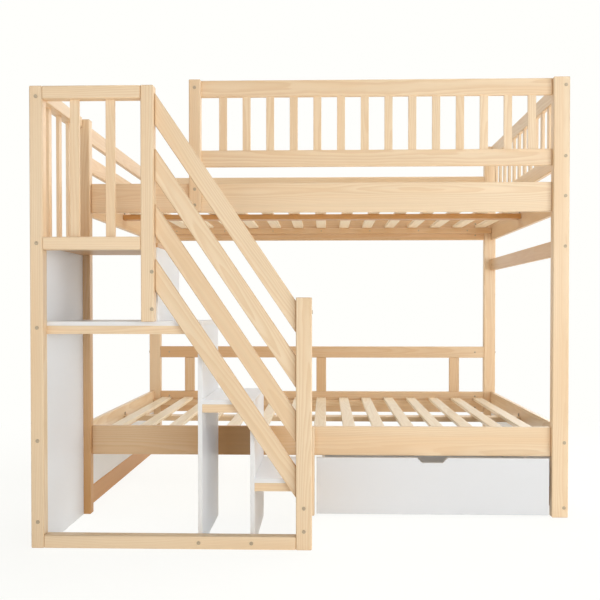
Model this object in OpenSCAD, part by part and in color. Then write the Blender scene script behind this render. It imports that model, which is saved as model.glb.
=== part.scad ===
// Stairway bunk bed: two slatted platforms in a pine frame, a staircase with storage
// cubbies and a caged landing at the left, and a castored drawer under the lower berth.
// Millimetres. +X runs along the bed to the right, +Y to the back, +Z up from the floor.

/* [Mattresses] */
// Length of each mattress, along X
mattress_length = 1905; // [1850:5:2050]
// Width of each mattress, along Y
mattress_width = 1372; // [1000:5:1550]
// Free space between a mattress and each rail around it
mattress_play = 10; // [4:1:20]

/* [Bed posts and rails] */
// Width of a bed post, along X
post_width = 64; // [50:1:80]
// Depth of a bed post, along Y
post_depth = 42; // [36:1:60]
// Height of the two right-hand posts
high_post_height = 1749; // [1700:1:1850]
// Height of the two right-hand posts above the two left-hand ones
low_post_drop = 156; // [100:1:250]
// Distance from a post's outer face to the outer face of the end boards
end_setback = 6.5; // [2:0.5:15]
// Height of the four long rails and four end rails
rail_height = 117; // [90:1:150]
// Thickness of every rail and guard board of the bed
rail_thick = 20; // [18:1:25]
// Underside of the upper rails above the floor
upper_rail_z = 1220; // [1150:1:1260]
// Underside of the lower rails above the floor
lower_rail_z = 240; // [230:1:300]
// Rounding of the long edges of posts
post_round = 4; // [1:0.5:8]
// Rounding of the long edges of rails, boards and slats
board_round = 3; // [1:0.5:5]

/* [Slat platforms] */
// Number of slats in each platform
slat_count = 15; // [8:1:18]
// Width of a slat
slat_width = 53; // [40:1:75]
// Thickness of a slat
slat_thick = 15; // [12:1:20]
// Gap between a slat's end and the rail
slat_play = 1; // [0.5:0.5:3]
// Free space past the end slats of the upper platform
upper_slat_gap = 37; // [10:1:80]
// Free space past the end slats of the lower platform
lower_slat_gap = 47; // [10:1:90]
// Height of the side cleats that carry the slats
cleat_height = 32; // [20:1:40]
// Depth of the side cleats
cleat_depth = 22; // [15:1:30]
// Underside of the cleats above the underside of the rails
cleat_lift = 36; // [20:1:60]
// Width of the flat centre beam
beam_width = 70; // [45:1:100]
// Thickness of the centre beam
beam_thick = 24; // [18:1:40]

/* [Guards] */
// Height of every guard board of the bed
guard_height = 66; // [50:1:90]
// Gap between an upper rail and the guard board above it
guard_lift = 66; // [40:1:80]
// Distance of the back guard's top below the tops of the left posts
back_guard_drop = 13; // [0:1:40]
// Width of the entry between the left post and the guard post
entry_width = 401; // [350:1:500]
// Width of the guard post
guard_post_width = 47; // [40:1:70]
// Number of balusters in the front guard
front_balusters = 14; // [6:1:16]
// Extra gap between the guard post and the first baluster
first_gap_extra = 8.5; // [0:0.5:20]
// Number of balusters in the right guard
end_balusters = 12; // [5:1:14]
// Width of every baluster
baluster_width = 32; // [20:1:45]
// Thickness of every baluster
baluster_thick = 12; // [8:1:16]
// Length of the tenon at each end of a baluster
tenon_length = 12; // [6:1:18]
// Gap between the upper right end rail and the tie rail below it
mid_rail_drop = 108; // [60:1:300]
// Height of the right-hand tie rail
mid_rail_height = 65; // [40:1:90]

/* [Lower berth] */
// Underside of the back rest rail above the floor
rest_rail_z = 550; // [480:1:620]
// Height of the back rest rail
rest_rail_height = 64; // [45:1:90]
// Width of a back rest upright
rest_upright_width = 56; // [40:1:80]
// Distance from a back post to the middle of the outer back rest uprights
rest_upright_inset = 168; // [100:1:300]
// Underside of the floor tie rails above the floor
tie_rail_z = 4; // [0:1:40]
// Height of the floor tie rails
tie_rail_height = 80; // [50:1:100]
// Height of a floor tie rail's bolts above its underside
tie_bolt_lift = 35; // [15:1:45]
// Thickness of the panel between a floor tie rail and an end rail
end_panel_thick = 15; // [9:1:18]
// Width of the middle front leg
leg_width = 60; // [45:1:80]
// Distance that the middle front leg stands out past the left side of the lower newel
leg_lap = 2; // [0:0.5:8]

/* [Staircase] */
// Distance from the front of the bed posts to the front of the stair
stair_depth = 478; // [420:1:560]
// Side of the square stair posts and cage rails
stair_post = 45; // [40:1:55]
// Distance that the left stair post stands out past the bed post
stair_overhang = 10; // [4:1:25]
// Length of the stair along the bed
stair_length = 976; // [930:1:1010]
// Height of the landing cage
cage_height = 1601; // [1560:1:1680]
// Width of the lower newel
newel_width = 55; // [45:1:60]
// Height of the lower newel
newel_height = 871; // [840:1:950]
// Left face of the upper newel from the left end of the stair
upper_newel_x = 386; // [360:1:410]
// Left face of the upper riser from the left end of the stair
upper_riser_x = 421; // [400:1:440]
// Left face of the middle riser from the left end of the stair
middle_riser_x = 577; // [540:1:610]
// Left face of the lower riser from the left end of the stair
lower_riser_x = 760; // [720:1:790]
// Top of the lower tread above the floor
first_rise = 238.5; // [220:0.5:250]
// Rise of each following step
step_rise = 274.5; // [265:0.5:280]
// Thickness of the white panels and tread boards
panel_thick = 15; // [12:1:18]
// Height of the wooden nosing under a tread board
nosing_height = 29; // [20:1:40]
// Depth of the nosing, front to back
nosing_depth = 20; // [15:1:30]
// Width of the bearers under the tread boards
bearer_width = 20; // [15:1:30]
// Top of the cage's lower rail above the landing
kick_height = 19; // [5:1:30]
// Number of balusters in the front of the cage
cage_front_balusters = 2; // [1:1:4]
// Number of balusters in the side of the cage
cage_side_balusters = 3; // [2:1:5]
// Thickness of the side rails behind the left stair post
side_rail_thick = 20; // [16:1:25]
// Middle of the lowest side rail of the stair above the floor
side_rail_low = 91; // [60:1:150]
// Middle of the second side rail of the stair above the floor
side_rail_middle = 373; // [300:1:450]
// Middle of the third side rail of the stair above the floor
side_rail_high = 766; // [650:1:850]
// Height of the board that ties the lower newel to the middle leg
foot_rail_height = 117; // [60:1:130]
// Underside of that board above the floor
foot_rail_z = 46; // [46:1:60]
// Distance of the foot rail's two bolts from its middle
foot_bolt_spread = 40; // [20:1:45]
// Number of sloping guard boards
slope_boards = 4; // [3:1:4]
// Height of a sloping board, square to its length
slope_board_height = 62; // [45:1:75]
// Thickness of a sloping board
slope_board_thick = 20; // [16:1:25]
// Distance from the front of the newels back to the sloping boards
slope_inset = 20; // [10:1:22]
// Upright distance between neighbouring sloping boards
slope_pitch = 191; // [170:1:200]
// Middle of the top sloping board at the upper newel, above the floor
slope_head_z = 1525; // [1480:1:1550]
// Middle of the top sloping board at the lower newel, above the floor
slope_foot_z = 803; // [760:1:820]

/* [Drawer] */
// Gap under the drawer front
drawer_floor_gap = 8; // [6:1:20]
// Gap between the drawer front and the rail above it
drawer_top_gap = 5; // [3:1:10]
// Gap between the drawer front and the middle leg
drawer_left_gap = 8; // [4:1:15]
// Gap between the drawer front and the right post
drawer_right_gap = 11; // [4:1:15]
// Thickness of the drawer front
drawer_front_thick = 18; // [15:1:22]
// Distance that the drawer front lies behind the front of the posts
drawer_front_inset = 2; // [0:1:10]
// Distance from the end of the drawer front to the drawer side
drawer_box_inset = 22; // [15:1:40]
// Depth of the drawer box behind its front
drawer_depth = 690; // [500:1:750]
// Height of the drawer sides
drawer_side_height = 145; // [110:1:170]
// Thickness of the drawer sides and back
drawer_side_thick = 12; // [10:1:18]
// Thickness of the drawer bottom
drawer_bottom_thick = 9; // [6:1:12]
// Width of the finger notch at the top of the drawer front
notch_width = 121; // [90:1:160]
// Width of the finger notch at its bottom
notch_foot_width = 84; // [60:1:120]
// Depth of the finger notch
notch_depth = 20; // [12:1:30]

/* [Castors] */
// Radius of a castor wheel
wheel_radius = 20; // [16:1:22]
// Width of a castor wheel
wheel_width = 14; // [10:1:20]
// Radius of a castor axle
axle_radius = 3; // [2.5:0.5:4]
// Radial running clearance of the wheel on its axle
axle_play = 0.06; // [0.03:0.01:0.1]
// Thickness of the castor bracket's steel
bracket_steel = 2.5; // [2:0.5:4]
// Gap between a wheel and each ear of its bracket
ear_gap = 1; // [0.5:0.5:2]
// Distance from the inside of the drawer box to the middle of a castor
castor_inset = 60; // [40:1:120]

/* [Connector bolts] */
// Radius of a bolt head
bolt_head_radius = 6.5; // [5:0.5:8]
// Height of a bolt head
bolt_head_height = 2.5; // [1.5:0.5:4]
// Width across the flats of the bolt head's socket
bolt_socket = 5; // [4:0.5:6]
// Radius of a bolt shank
bolt_radius = 3; // [2:0.5:3.5]
// Radial clearance of a shank in its hole
bolt_play = 0.2; // [0.1:0.1:0.5]
// Length of a bolt past the piece that its head bears on
bolt_grip = 30; // [20:1:50]
// Length of the bolts that go lengthwise into a rail, past the post
rail_bolt_grip = 56; // [30:1:70]
// Distance of the two bolts in a rail from the rail's middle
bolt_spread = 32; // [20:1:38]
// Distance that crossing bolts in the guard boards keep from each other
bolt_cross = 15; // [10:1:20]
// Height of the cage's top bolt above the underside of the rail it holds
bolt_edge = 8; // [6:1:20]
// Height of the upper newel's first bolt above the shelf
newel_bolt_low = 43; // [20:1:80]
// Height of the upper newel's second bolt above the shelf
newel_bolt_high = 172; // [120:1:230]
// Height of the lower newel's side bolt above the middle of the top sloping board
newel_bolt_lift = 18; // [0:1:22]
// Distance of the side rails' bolts to the right of the rails' middle
side_bolt_shift = 4; // [0:1:5]

/* [Hidden] */
$fn = 32;

// Extra length of a cut past the face that it opens
overcut = 1;

PINE = "#e8cfa4";
SLAT_PINE = "#ecd6ae";
WHITE = "#f1f1f0";
DRAWER_WHITE = "#e4e2df";
STEEL = "#b9b6ae";
CASTOR = "#4b4b4d";

// Bed plan: middle of the bed at x = 0, front of the bed posts at y = 0
inner_x = mattress_length / 2 + mattress_play;
end_outer_x = inner_x + rail_thick;
post_outer_x = end_outer_x + end_setback;
post_inner_x = post_outer_x - post_width;
bed_depth = mattress_width + 2 * mattress_play + 2 * post_depth;
back_post_y = bed_depth - post_depth;
front_rail_y = post_depth - rail_thick;
end_bolt_x = inner_x + rail_thick / 2;

// Heights
low_post_height = high_post_height - low_post_drop;
upper_rail_top = upper_rail_z + rail_height;
lower_rail_top = lower_rail_z + rail_height;
guard_low_z = upper_rail_top + guard_lift;
high_guard_z = high_post_height - guard_height;
low_guard_z = low_post_height - guard_height;
back_guard_z = low_guard_z - back_guard_drop;
mid_rail_z = upper_rail_z - mid_rail_drop - mid_rail_height;
cleat_top = cleat_lift + cleat_height;

// Guard post and front guard
guard_post_x = -post_inner_x + entry_width;
front_guard_x = guard_post_x + guard_post_width;

// Staircase plan, with the middle leg behind the lower newel
stair_left_x = -post_outer_x - stair_overhang;
stair_front_y = -stair_depth;
stair_inner_y = stair_front_y + stair_post;
newel_right_x = stair_left_x + stair_length;
newel_left_x = newel_right_x - newel_width;
leg_left_x = newel_left_x - leg_lap;
leg_right_x = leg_left_x + leg_width;
side_panel_x = stair_left_x + stair_post - panel_thick;
side_rail_x = side_panel_x - side_rail_thick;
cage_left_x = stair_left_x + stair_post;
cage_right_x = stair_left_x + upper_newel_x;
cage_newel_x = cage_right_x + stair_post;
upper_riser_left = stair_left_x + upper_riser_x;
middle_riser_left = stair_left_x + middle_riser_x;
lower_riser_left = stair_left_x + lower_riser_x;
slope_y = stair_front_y + slope_inset;
tread_front_y = slope_y + slope_board_thick;

// Step heights
lower_tread_top = first_rise;
middle_tread_top = first_rise + step_rise;
shelf_top = first_rise + 2 * step_rise;
landing_top = first_rise + 3 * step_rise;
landing_under = landing_top - panel_thick;
cage_low_z = landing_top + kick_height - stair_post;
cage_top_z = cage_height - stair_post;

// Sloping boards
slope_run = newel_left_x - cage_newel_x;
slope_angle = atan2(slope_head_z - slope_foot_z, slope_run);

// Drawer
drawer_left_x = leg_right_x + drawer_left_gap;
drawer_right_x = post_inner_x - drawer_right_gap;
drawer_front_top = lower_rail_z - drawer_top_gap;
drawer_box_y = drawer_front_inset + drawer_front_thick;
drawer_box_left = drawer_left_x + drawer_box_inset;
drawer_box_right = drawer_right_x - drawer_box_inset;
bracket_gap = 3;
bracket_top = 2 * wheel_radius + bracket_gap + bracket_steel;
drawer_mid_x = (drawer_left_x + drawer_right_x) / 2;
ear_width = 22;
ear_drop = 7;
axle_head = 1.5;
axle_head_radius = 4.5;
bracket_flange = 9;
plate_lip = 2;
fork_half = wheel_width / 2 + ear_gap;
castor_spots = [
    for (x = [drawer_box_left + drawer_side_thick + castor_inset,
              drawer_box_right - drawer_side_thick - castor_inset],
         y = [drawer_box_y + castor_inset,
              drawer_box_y + drawer_depth - drawer_side_thick - castor_inset])
    [x, y]
];

// The frame's origin is the middle of the whole bed's footprint
right_extent = post_outer_x + bolt_head_height;
left_extent = min(stair_left_x, -post_outer_x - bolt_head_height);
front_extent = stair_front_y - bolt_head_height;
back_extent = bed_depth + bolt_head_height;
centre_x = (left_extent + right_extent) / 2;
centre_y = (front_extent + back_extent) / 2;

// Bolts are [x, y, z, direction of the shank, length of the shank]
function middle(z, h) = z + h / 2;
upper_rail_mid = middle(upper_rail_z, rail_height);
lower_rail_mid = middle(lower_rail_z, rail_height);
tie_bolt_z = tie_rail_z + tie_bolt_lift;
right_end_heights = [
    middle(high_guard_z, guard_height), middle(guard_low_z, guard_height),
    upper_rail_mid, middle(mid_rail_z, mid_rail_height), lower_rail_mid, tie_bolt_z
];
left_end_heights = [
    middle(low_guard_z, guard_height), middle(guard_low_z, guard_height),
    upper_rail_mid, lower_rail_mid, tie_bolt_z
];
rail_bolt_heights = [
    upper_rail_mid + bolt_spread, upper_rail_mid - bolt_spread,
    lower_rail_mid + bolt_spread, lower_rail_mid - bolt_spread
];
front_guard_heights = [
    middle(high_guard_z, guard_height) - bolt_cross,
    middle(guard_low_z, guard_height) - bolt_cross
];
back_guard_heights = [
    middle(back_guard_z, guard_height) - bolt_cross,
    middle(guard_low_z, guard_height) - bolt_cross,
    middle(rest_rail_z, rest_rail_height)
];

function end_bolts(side, back, heights, sunk = 0) = [
    for (z = heights)
    [side * end_bolt_x, back ? bed_depth : sunk, z, back ? "-y" : "+y", post_depth - sunk + bolt_grip]
];
function long_bolts(side, back, heights) = [
    for (z = heights)
    [side * post_outer_x,
     back ? bed_depth - front_rail_y - rail_thick / 2 : front_rail_y + rail_thick / 2,
     z, side > 0 ? "-x" : "+x", post_width + rail_bolt_grip]
];
front_right_bolts = concat(
    end_bolts(1, false, right_end_heights),
    long_bolts(1, false, concat(rail_bolt_heights, front_guard_heights)));
back_right_bolts = concat(
    end_bolts(1, true, right_end_heights),
    long_bolts(1, true, concat(rail_bolt_heights, back_guard_heights)));
front_left_bolts = concat(
    end_bolts(-1, false, left_end_heights, bolt_head_height),
    long_bolts(-1, false, rail_bolt_heights));
back_left_bolts = concat(
    end_bolts(-1, true, left_end_heights),
    long_bolts(-1, true, concat(rail_bolt_heights, back_guard_heights)));

guard_post_mid_x = guard_post_x + guard_post_width / 2;
guard_post_bolts = [
    for (z = [upper_rail_mid + bolt_spread, upper_rail_mid - bolt_spread,
              middle(guard_low_z, guard_height), middle(high_guard_z, guard_height)])
    [guard_post_mid_x, 0, z, "+y", front_rail_y + rail_thick]
];
leg_bolts = [
    for (z = [lower_rail_mid + bolt_spread, lower_rail_mid - bolt_spread])
    [middle(leg_left_x, leg_width), 0, z, "+y", front_rail_y + rail_thick]
];

side_rail_mid_x = side_rail_x + side_rail_thick / 2;
side_bolt_x = side_rail_mid_x + side_bolt_shift;
stair_bolt = stair_post + bolt_grip;
side_rail_heights = [side_rail_low, side_rail_middle, side_rail_high];
side_rail_bolts = [
    for (z = concat(side_rail_heights, [middle(cage_low_z, stair_post), cage_top_z + bolt_edge]))
    [side_bolt_x, stair_front_y, z, "+y", stair_bolt]
];
upper_newel_bolts = [
    for (z = [shelf_top + newel_bolt_low, shelf_top + newel_bolt_high])
    [cage_newel_x - bolt_head_radius, stair_front_y, z, "+y", stair_bolt]
];
bottom_rail_bolts = [
    for (x = [middle_riser_left, lower_riser_left])
    [x + panel_thick / 2, stair_front_y, stair_post / 2, "+y", stair_bolt]
];
newel_side_bolts = [
    [newel_right_x, slope_y + slope_board_thick / 2, slope_foot_z + newel_bolt_lift, "-x",
     newel_width + bolt_grip]
];
foot_rail_mid = middle(foot_rail_z, foot_rail_height);
newel_mid_x = middle(newel_left_x, newel_width);
lower_newel_bolts = [
    for (z = [foot_rail_mid + foot_bolt_spread, foot_rail_mid - foot_bolt_spread])
    [newel_mid_x, stair_front_y, z, "+y", stair_bolt]
];

all_bolts = concat(
    front_right_bolts, back_right_bolts, front_left_bolts, back_left_bolts,
    guard_post_bolts, leg_bolts, side_rail_bolts,
    upper_newel_bolts, bottom_rail_bolts, newel_side_bolts, lower_newel_bolts);

// Rectangle with its lower left corner at the origin and its four corners rounded
module eased(w, h, r) {
    translate([r, 0]) square([w - 2 * r, h]);
    translate([0, r]) square([w, h - 2 * r]);
    for (x = [r, w - r], y = [r, h - r]) translate([x, y]) circle(r);
}

module bar_x(x0, x1, y, z, depth, height, r = board_round) {
    translate([x0, y, z]) rotate([90, 0, 90]) linear_extrude(x1 - x0) eased(depth, height, r);
}

module bar_y(y0, y1, x, z, width, height, r = board_round) {
    translate([x, y1, z]) rotate([90, 0, 0]) linear_extrude(y1 - y0) eased(width, height, r);
}

module bar_z(z0, z1, x, y, width, depth, r = board_round) {
    translate([x, y, z0]) linear_extrude(z1 - z0) eased(width, depth, r);
}

// Moves the bed's plan onto the footprint's middle
module placed() {
    translate([-centre_x, -centre_y, 0]) children();
}

function turn_to(direction) =
    direction == "+y" ? [-90, 0, 0] : direction == "-y" ? [90, 0, 0] :
    direction == "+x" ? [0, 90, 0] : [0, -90, 0];

// Puts a child that runs along +Z from its origin on each bolt's place
module at_bolts(bolts) {
    for (b = bolts) translate([b[0], b[1], b[2]]) rotate(turn_to(b[3])) {
        $shank = b[4];
        children();
    }
}

// Holes for the shanks; a head that lies below the wood's face gets its counterbore too
module bolt_holes(bolts, sunk_heads = false) {
    at_bolts(bolts) {
        translate([0, 0, -overcut])
            cylinder(r = bolt_radius + bolt_play, h = $shank + overcut + bolt_play);
        if (sunk_heads) translate([0, 0, -bolt_head_height - overcut])
            cylinder(r = bolt_head_radius + bolt_play, h = bolt_head_height + overcut);
    }
}

module bolt() {
    translate([0, 0, -bolt_head_height]) difference() {
        cylinder(r = bolt_head_radius, h = bolt_head_height);
        translate([0, 0, -overcut])
            cylinder(d = bolt_socket / cos(30), h = overcut + bolt_head_height / 2, $fn = 6);
    }
    cylinder(r = bolt_radius, h = $shank);
}

// Bed posts

module bed_post(side, back, height, bolts) {
    color(PINE) placed() difference() {
        bar_z(0, height, side > 0 ? post_inner_x : -post_outer_x, back ? back_post_y : 0,
              post_width, post_depth, post_round);
        bolt_holes(bolts, sunk_heads = side < 0 && !back);
    }
}

module post_front_right() { bed_post(1, false, high_post_height, front_right_bolts); }
module post_back_right() { bed_post(1, true, high_post_height, back_right_bolts); }
module post_front_left() { bed_post(-1, false, low_post_height, front_left_bolts); }
module post_back_left() { bed_post(-1, true, low_post_height, back_left_bolts); }

// A post that is cut away behind, where it laps over the fronts of boards; each lap is the
// height of the cut's underside and the height of the cut
module lapped_post(x, width, z0, z1, laps, bolts) {
    color(PINE) placed() difference() {
        bar_z(z0, z1, x, 0, width, post_depth, post_round);
        for (lap = laps)
            translate([x - overcut, front_rail_y, lap[0]])
                cube([width + 2 * overcut, post_depth, lap[1]]);
        bolt_holes(bolts);
    }
}

module leg_front_middle() {
    laps = [[lower_rail_z, rail_height + overcut]];
    lapped_post(leg_left_x, leg_width, 0, lower_rail_top, laps, leg_bolts);
}

module guard_post() {
    laps = [[upper_rail_z - overcut, rail_height + overcut], [guard_low_z, guard_height],
            [high_guard_z, guard_height + overcut]];
    lapped_post(guard_post_x, guard_post_width, upper_rail_z, high_post_height, laps, guard_post_bolts);
}

// Rails

module long_rail(z, back, bolts) {
    color(PINE) placed() difference() {
        bar_x(-post_inner_x, post_inner_x, back ? back_post_y : front_rail_y, z,
              rail_thick, rail_height);
        bolt_holes(bolts);
    }
}

module upper_front_rail() {
    long_rail(upper_rail_z, false, concat(front_left_bolts, front_right_bolts, guard_post_bolts));
}
module upper_back_rail() {
    long_rail(upper_rail_z, true, concat(back_left_bolts, back_right_bolts));
}
module lower_front_rail() {
    long_rail(lower_rail_z, false, concat(front_left_bolts, front_right_bolts, leg_bolts));
}
module lower_back_rail() {
    long_rail(lower_rail_z, true, concat(back_left_bolts, back_right_bolts));
}

// A board between the front and the back post of one side
module end_board(side, z, height) {
    difference() {
        bar_y(post_depth, back_post_y, side > 0 ? inner_x : -end_outer_x, z, rail_thick, height);
        if (side > 0) {
            bolt_holes(end_bolts(1, false, right_end_heights));
            bolt_holes(end_bolts(1, true, right_end_heights));
        } else {
            bolt_holes(end_bolts(-1, false, left_end_heights, bolt_head_height));
            bolt_holes(end_bolts(-1, true, left_end_heights));
        }
    }
}

module upper_end_rails() {
    color(PINE) placed() for (side = [-1, 1]) end_board(side, upper_rail_z, rail_height);
}
module lower_end_rails() {
    color(PINE) placed() for (side = [-1, 1]) end_board(side, lower_rail_z, rail_height);
}
module right_mid_rail() {
    color(PINE) placed() end_board(1, mid_rail_z, mid_rail_height);
}
module end_tie_rails() {
    color(PINE) placed() for (side = [-1, 1]) end_board(side, tie_rail_z, tie_rail_height);
}

module end_panels() {
    panel_z = tie_rail_z + tie_rail_height;
    inset = (rail_thick - end_panel_thick) / 2;
    color(WHITE) placed() for (x = [inner_x + inset, -end_outer_x + inset])
        translate([x, post_depth, panel_z])
        cube([end_panel_thick, back_post_y - post_depth, lower_rail_z - panel_z]);
}

// Slat platforms

module side_cleats(rail_z) {
    color(PINE) placed() for (y = [post_depth, back_post_y - cleat_depth])
        bar_x(-inner_x, inner_x, y, rail_z + cleat_lift, cleat_depth, cleat_height);
}

module centre_beam(rail_z) {
    color(PINE) placed()
        bar_x(-inner_x, inner_x, (bed_depth - beam_width) / 2, rail_z + cleat_top - beam_thick,
              beam_width, beam_thick);
}

module slats(rail_z, end_gap) {
    first_x = -inner_x + end_gap;
    pitch = (2 * (inner_x - end_gap) - slat_width) / (slat_count - 1);
    color(SLAT_PINE) placed() for (i = [0 : slat_count - 1])
        bar_y(post_depth + slat_play, back_post_y - slat_play, first_x + i * pitch,
              rail_z + cleat_top, slat_width, slat_thick);
}

module upper_side_cleats() { side_cleats(upper_rail_z); }
module lower_side_cleats() { side_cleats(lower_rail_z); }
module upper_centre_beam() { centre_beam(upper_rail_z); }
module lower_centre_beam() { centre_beam(lower_rail_z); }
module upper_slats() { slats(upper_rail_z, upper_slat_gap); }
module lower_slats() { slats(lower_rail_z, lower_slat_gap); }

// Guards with balusters that are tenoned into the boards above and below

function spread(start, end, count, i) =
    start + (end - start - count * baluster_width) * (i + 1) / (count + 1) + i * baluster_width;

// Balusters in a row along X, between the heights z0 and z1
module baluster_row_x(x0, x1, count, mid_y, z0, z1) {
    for (i = [0 : count - 1])
        translate([spread(x0, x1, count, i), mid_y - baluster_thick / 2, z0 - tenon_length])
        cube([baluster_width, baluster_thick, z1 - z0 + 2 * tenon_length]);
}

module baluster_row_y(y0, y1, count, mid_x, z0, z1) {
    for (i = [0 : count - 1])
        translate([mid_x - baluster_thick / 2, spread(y0, y1, count, i), z0 - tenon_length])
        cube([baluster_thick, baluster_width, z1 - z0 + 2 * tenon_length]);
}

module front_guard_balusters_at() {
    baluster_row_x(front_guard_x + first_gap_extra, post_inner_x, front_balusters,
                   front_rail_y + rail_thick / 2, guard_low_z + guard_height, high_guard_z);
}

module front_guard_boards() {
    color(PINE) placed() difference() {
        for (z = [guard_low_z, high_guard_z])
            bar_x(guard_post_x, post_inner_x, front_rail_y, z, rail_thick, guard_height);
        front_guard_balusters_at();
        bolt_holes(concat(guard_post_bolts, long_bolts(1, false, front_guard_heights)));
    }
}

module front_guard_balusters() {
    color(PINE) placed() front_guard_balusters_at();
}

module right_guard_balusters_at() {
    baluster_row_y(post_depth, back_post_y, end_balusters, end_bolt_x,
                   guard_low_z + guard_height, high_guard_z);
}

module right_guard_boards() {
    color(PINE) placed() difference() {
        for (z = [guard_low_z, high_guard_z]) end_board(1, z, guard_height);
        right_guard_balusters_at();
    }
}

module right_guard_balusters() {
    color(PINE) placed() right_guard_balusters_at();
}

module left_guard_boards() {
    color(PINE) placed() for (z = [guard_low_z, low_guard_z]) end_board(-1, z, guard_height);
}

module back_guard_boards() {
    color(PINE) placed() difference() {
        for (z = [guard_low_z, back_guard_z])
            bar_x(-post_inner_x, post_inner_x, back_post_y, z, rail_thick, guard_height);
        bolt_holes(concat(long_bolts(1, true, back_guard_heights),
                          long_bolts(-1, true, back_guard_heights)));
    }
}

// Back rest of the lower berth

module back_rest_rail() {
    color(PINE) placed() difference() {
        bar_x(-post_inner_x, post_inner_x, back_post_y, rest_rail_z, rail_thick, rest_rail_height);
        bolt_holes(concat(long_bolts(1, true, back_guard_heights),
                          long_bolts(-1, true, back_guard_heights)));
    }
}

module back_rest_uprights() {
    outer_x = post_inner_x - rest_upright_inset;
    color(PINE) placed() for (x = [-outer_x, 0, outer_x])
        bar_z(lower_rail_top, rest_rail_z, x - rest_upright_width / 2, back_post_y,
              rest_upright_width, rail_thick);
}

// Stair posts

module stair_left_post() {
    color(PINE) placed() difference() {
        bar_z(0, cage_height, stair_left_x, stair_front_y, stair_post, stair_post, post_round);
        bolt_holes(side_rail_bolts);
    }
}

module stair_upper_newel() {
    color(PINE) placed() difference() {
        bar_z(shelf_top, cage_height, cage_right_x, stair_front_y, stair_post, stair_post, post_round);
        bolt_holes(upper_newel_bolts);
    }
}

module stair_lower_newel() {
    color(PINE) placed() difference() {
        bar_z(0, newel_height, newel_left_x, stair_front_y, newel_width, stair_post, post_round);
        bolt_holes(concat(newel_side_bolts, lower_newel_bolts));
    }
}

module stair_bottom_rail() {
    color(PINE) placed() difference() {
        bar_x(cage_left_x, newel_left_x, stair_front_y, 0, stair_post, stair_post, post_round);
        bolt_holes(bottom_rail_bolts);
    }
}

// Landing cage

module cage_front_balusters_at() {
    baluster_row_x(cage_left_x, cage_right_x, cage_front_balusters, stair_front_y + stair_post / 2,
                   cage_low_z + stair_post, cage_top_z);
}

module cage_front_rail(z) {
    color(PINE) placed() difference() {
        bar_x(cage_left_x, cage_right_x, stair_front_y, z, stair_post, stair_post, post_round);
        cage_front_balusters_at();
    }
}

module landing_top_rail() { cage_front_rail(cage_top_z); }
module landing_front_rail() { cage_front_rail(cage_low_z); }
module landing_front_balusters() { color(PINE) placed() cage_front_balusters_at(); }

module cage_side_balusters_at() {
    baluster_row_y(stair_inner_y, 0, cage_side_balusters, side_rail_mid_x,
                   cage_low_z + stair_post, cage_top_z);
}

module stair_side_rails() {
    stretchers = [for (z = side_rail_heights) z - stair_post / 2];
    color(PINE) placed() difference() {
        union() {
            bar_y(stair_inner_y, 0, stair_left_x, cage_top_z, stair_post, stair_post, post_round);
            for (z = concat([cage_low_z], stretchers))
                bar_y(stair_inner_y, 0, side_rail_x, z, side_rail_thick, stair_post);
        }
        cage_side_balusters_at();
        bolt_holes(side_rail_bolts);
    }
    color(PINE) placed() difference() {
        bar_y(stair_inner_y, 0, newel_mid_x - side_rail_thick / 2, foot_rail_z,
              side_rail_thick, foot_rail_height);
        bolt_holes(lower_newel_bolts);
    }
}

module landing_side_balusters() { color(PINE) placed() cage_side_balusters_at(); }

module landing_board() {
    color(PINE) placed()
        translate([side_panel_x, stair_inner_y, landing_under])
        cube([upper_riser_left + panel_thick - side_panel_x, -stair_inner_y, panel_thick]);
}

// White panels that stand on edge and carry the treads

module upright_panel(x, front_y, z0, z1, bolts) {
    color(WHITE) placed() difference() {
        translate([x, front_y, z0]) cube([panel_thick, -front_y, z1 - z0]);
        bolt_holes(bolts);
    }
}

module stair_side_panel() {
    upright_panel(side_panel_x, stair_inner_y, 0, landing_under, []);
}
module upper_riser() {
    upright_panel(upper_riser_left, stair_inner_y, shelf_top, landing_under, upper_newel_bolts);
}

// A riser that stands on the floor, notched over the bottom rail
module floor_riser(x, z1) {
    difference() {
        upright_panel(x, tread_front_y, 0, z1, bottom_rail_bolts);
        placed() translate([x - overcut, tread_front_y - overcut, -overcut])
            cube([panel_thick + 2 * overcut, stair_inner_y - tread_front_y + overcut,
                  stair_post + overcut]);
    }
}

module middle_riser() { floor_riser(middle_riser_left, shelf_top - panel_thick); }
module lower_riser() { floor_riser(lower_riser_left, middle_tread_top - panel_thick); }

// Treads: a white board on a wooden nosing, on bearers along its ends

module tread_board(x0, x1, top) {
    translate([x0, tread_front_y, top - panel_thick]) cube([x1 - x0, -tread_front_y, panel_thick]);
}

module shelf_tread() {
    color(WHITE) placed() tread_board(cage_left_x, middle_riser_left + panel_thick, shelf_top);
}
module middle_tread() {
    color(WHITE) placed()
        tread_board(middle_riser_left + panel_thick, lower_riser_left + panel_thick, middle_tread_top);
}
module lower_tread() {
    color(WHITE) placed() difference() {
        tread_board(lower_riser_left + panel_thick, newel_left_x + bearer_width, lower_tread_top);
        translate([newel_left_x, stair_front_y, 0])
            cube([newel_width, stair_post, lower_tread_top + overcut]);
    }
}

module nosing(x0, x1, top) {
    translate([x0, tread_front_y, top - panel_thick - nosing_height])
        cube([x1 - x0, nosing_depth, nosing_height]);
}

module tread_nosings() {
    color(PINE) placed() {
        nosing(cage_left_x, middle_riser_left, shelf_top);
        nosing(middle_riser_left + panel_thick, lower_riser_left, middle_tread_top);
        nosing(lower_riser_left + panel_thick, newel_left_x, lower_tread_top);
    }
}

module bearer(x, y0, top) {
    translate([x, y0, top - panel_thick - nosing_height])
        cube([bearer_width, -y0, nosing_height]);
}

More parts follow.
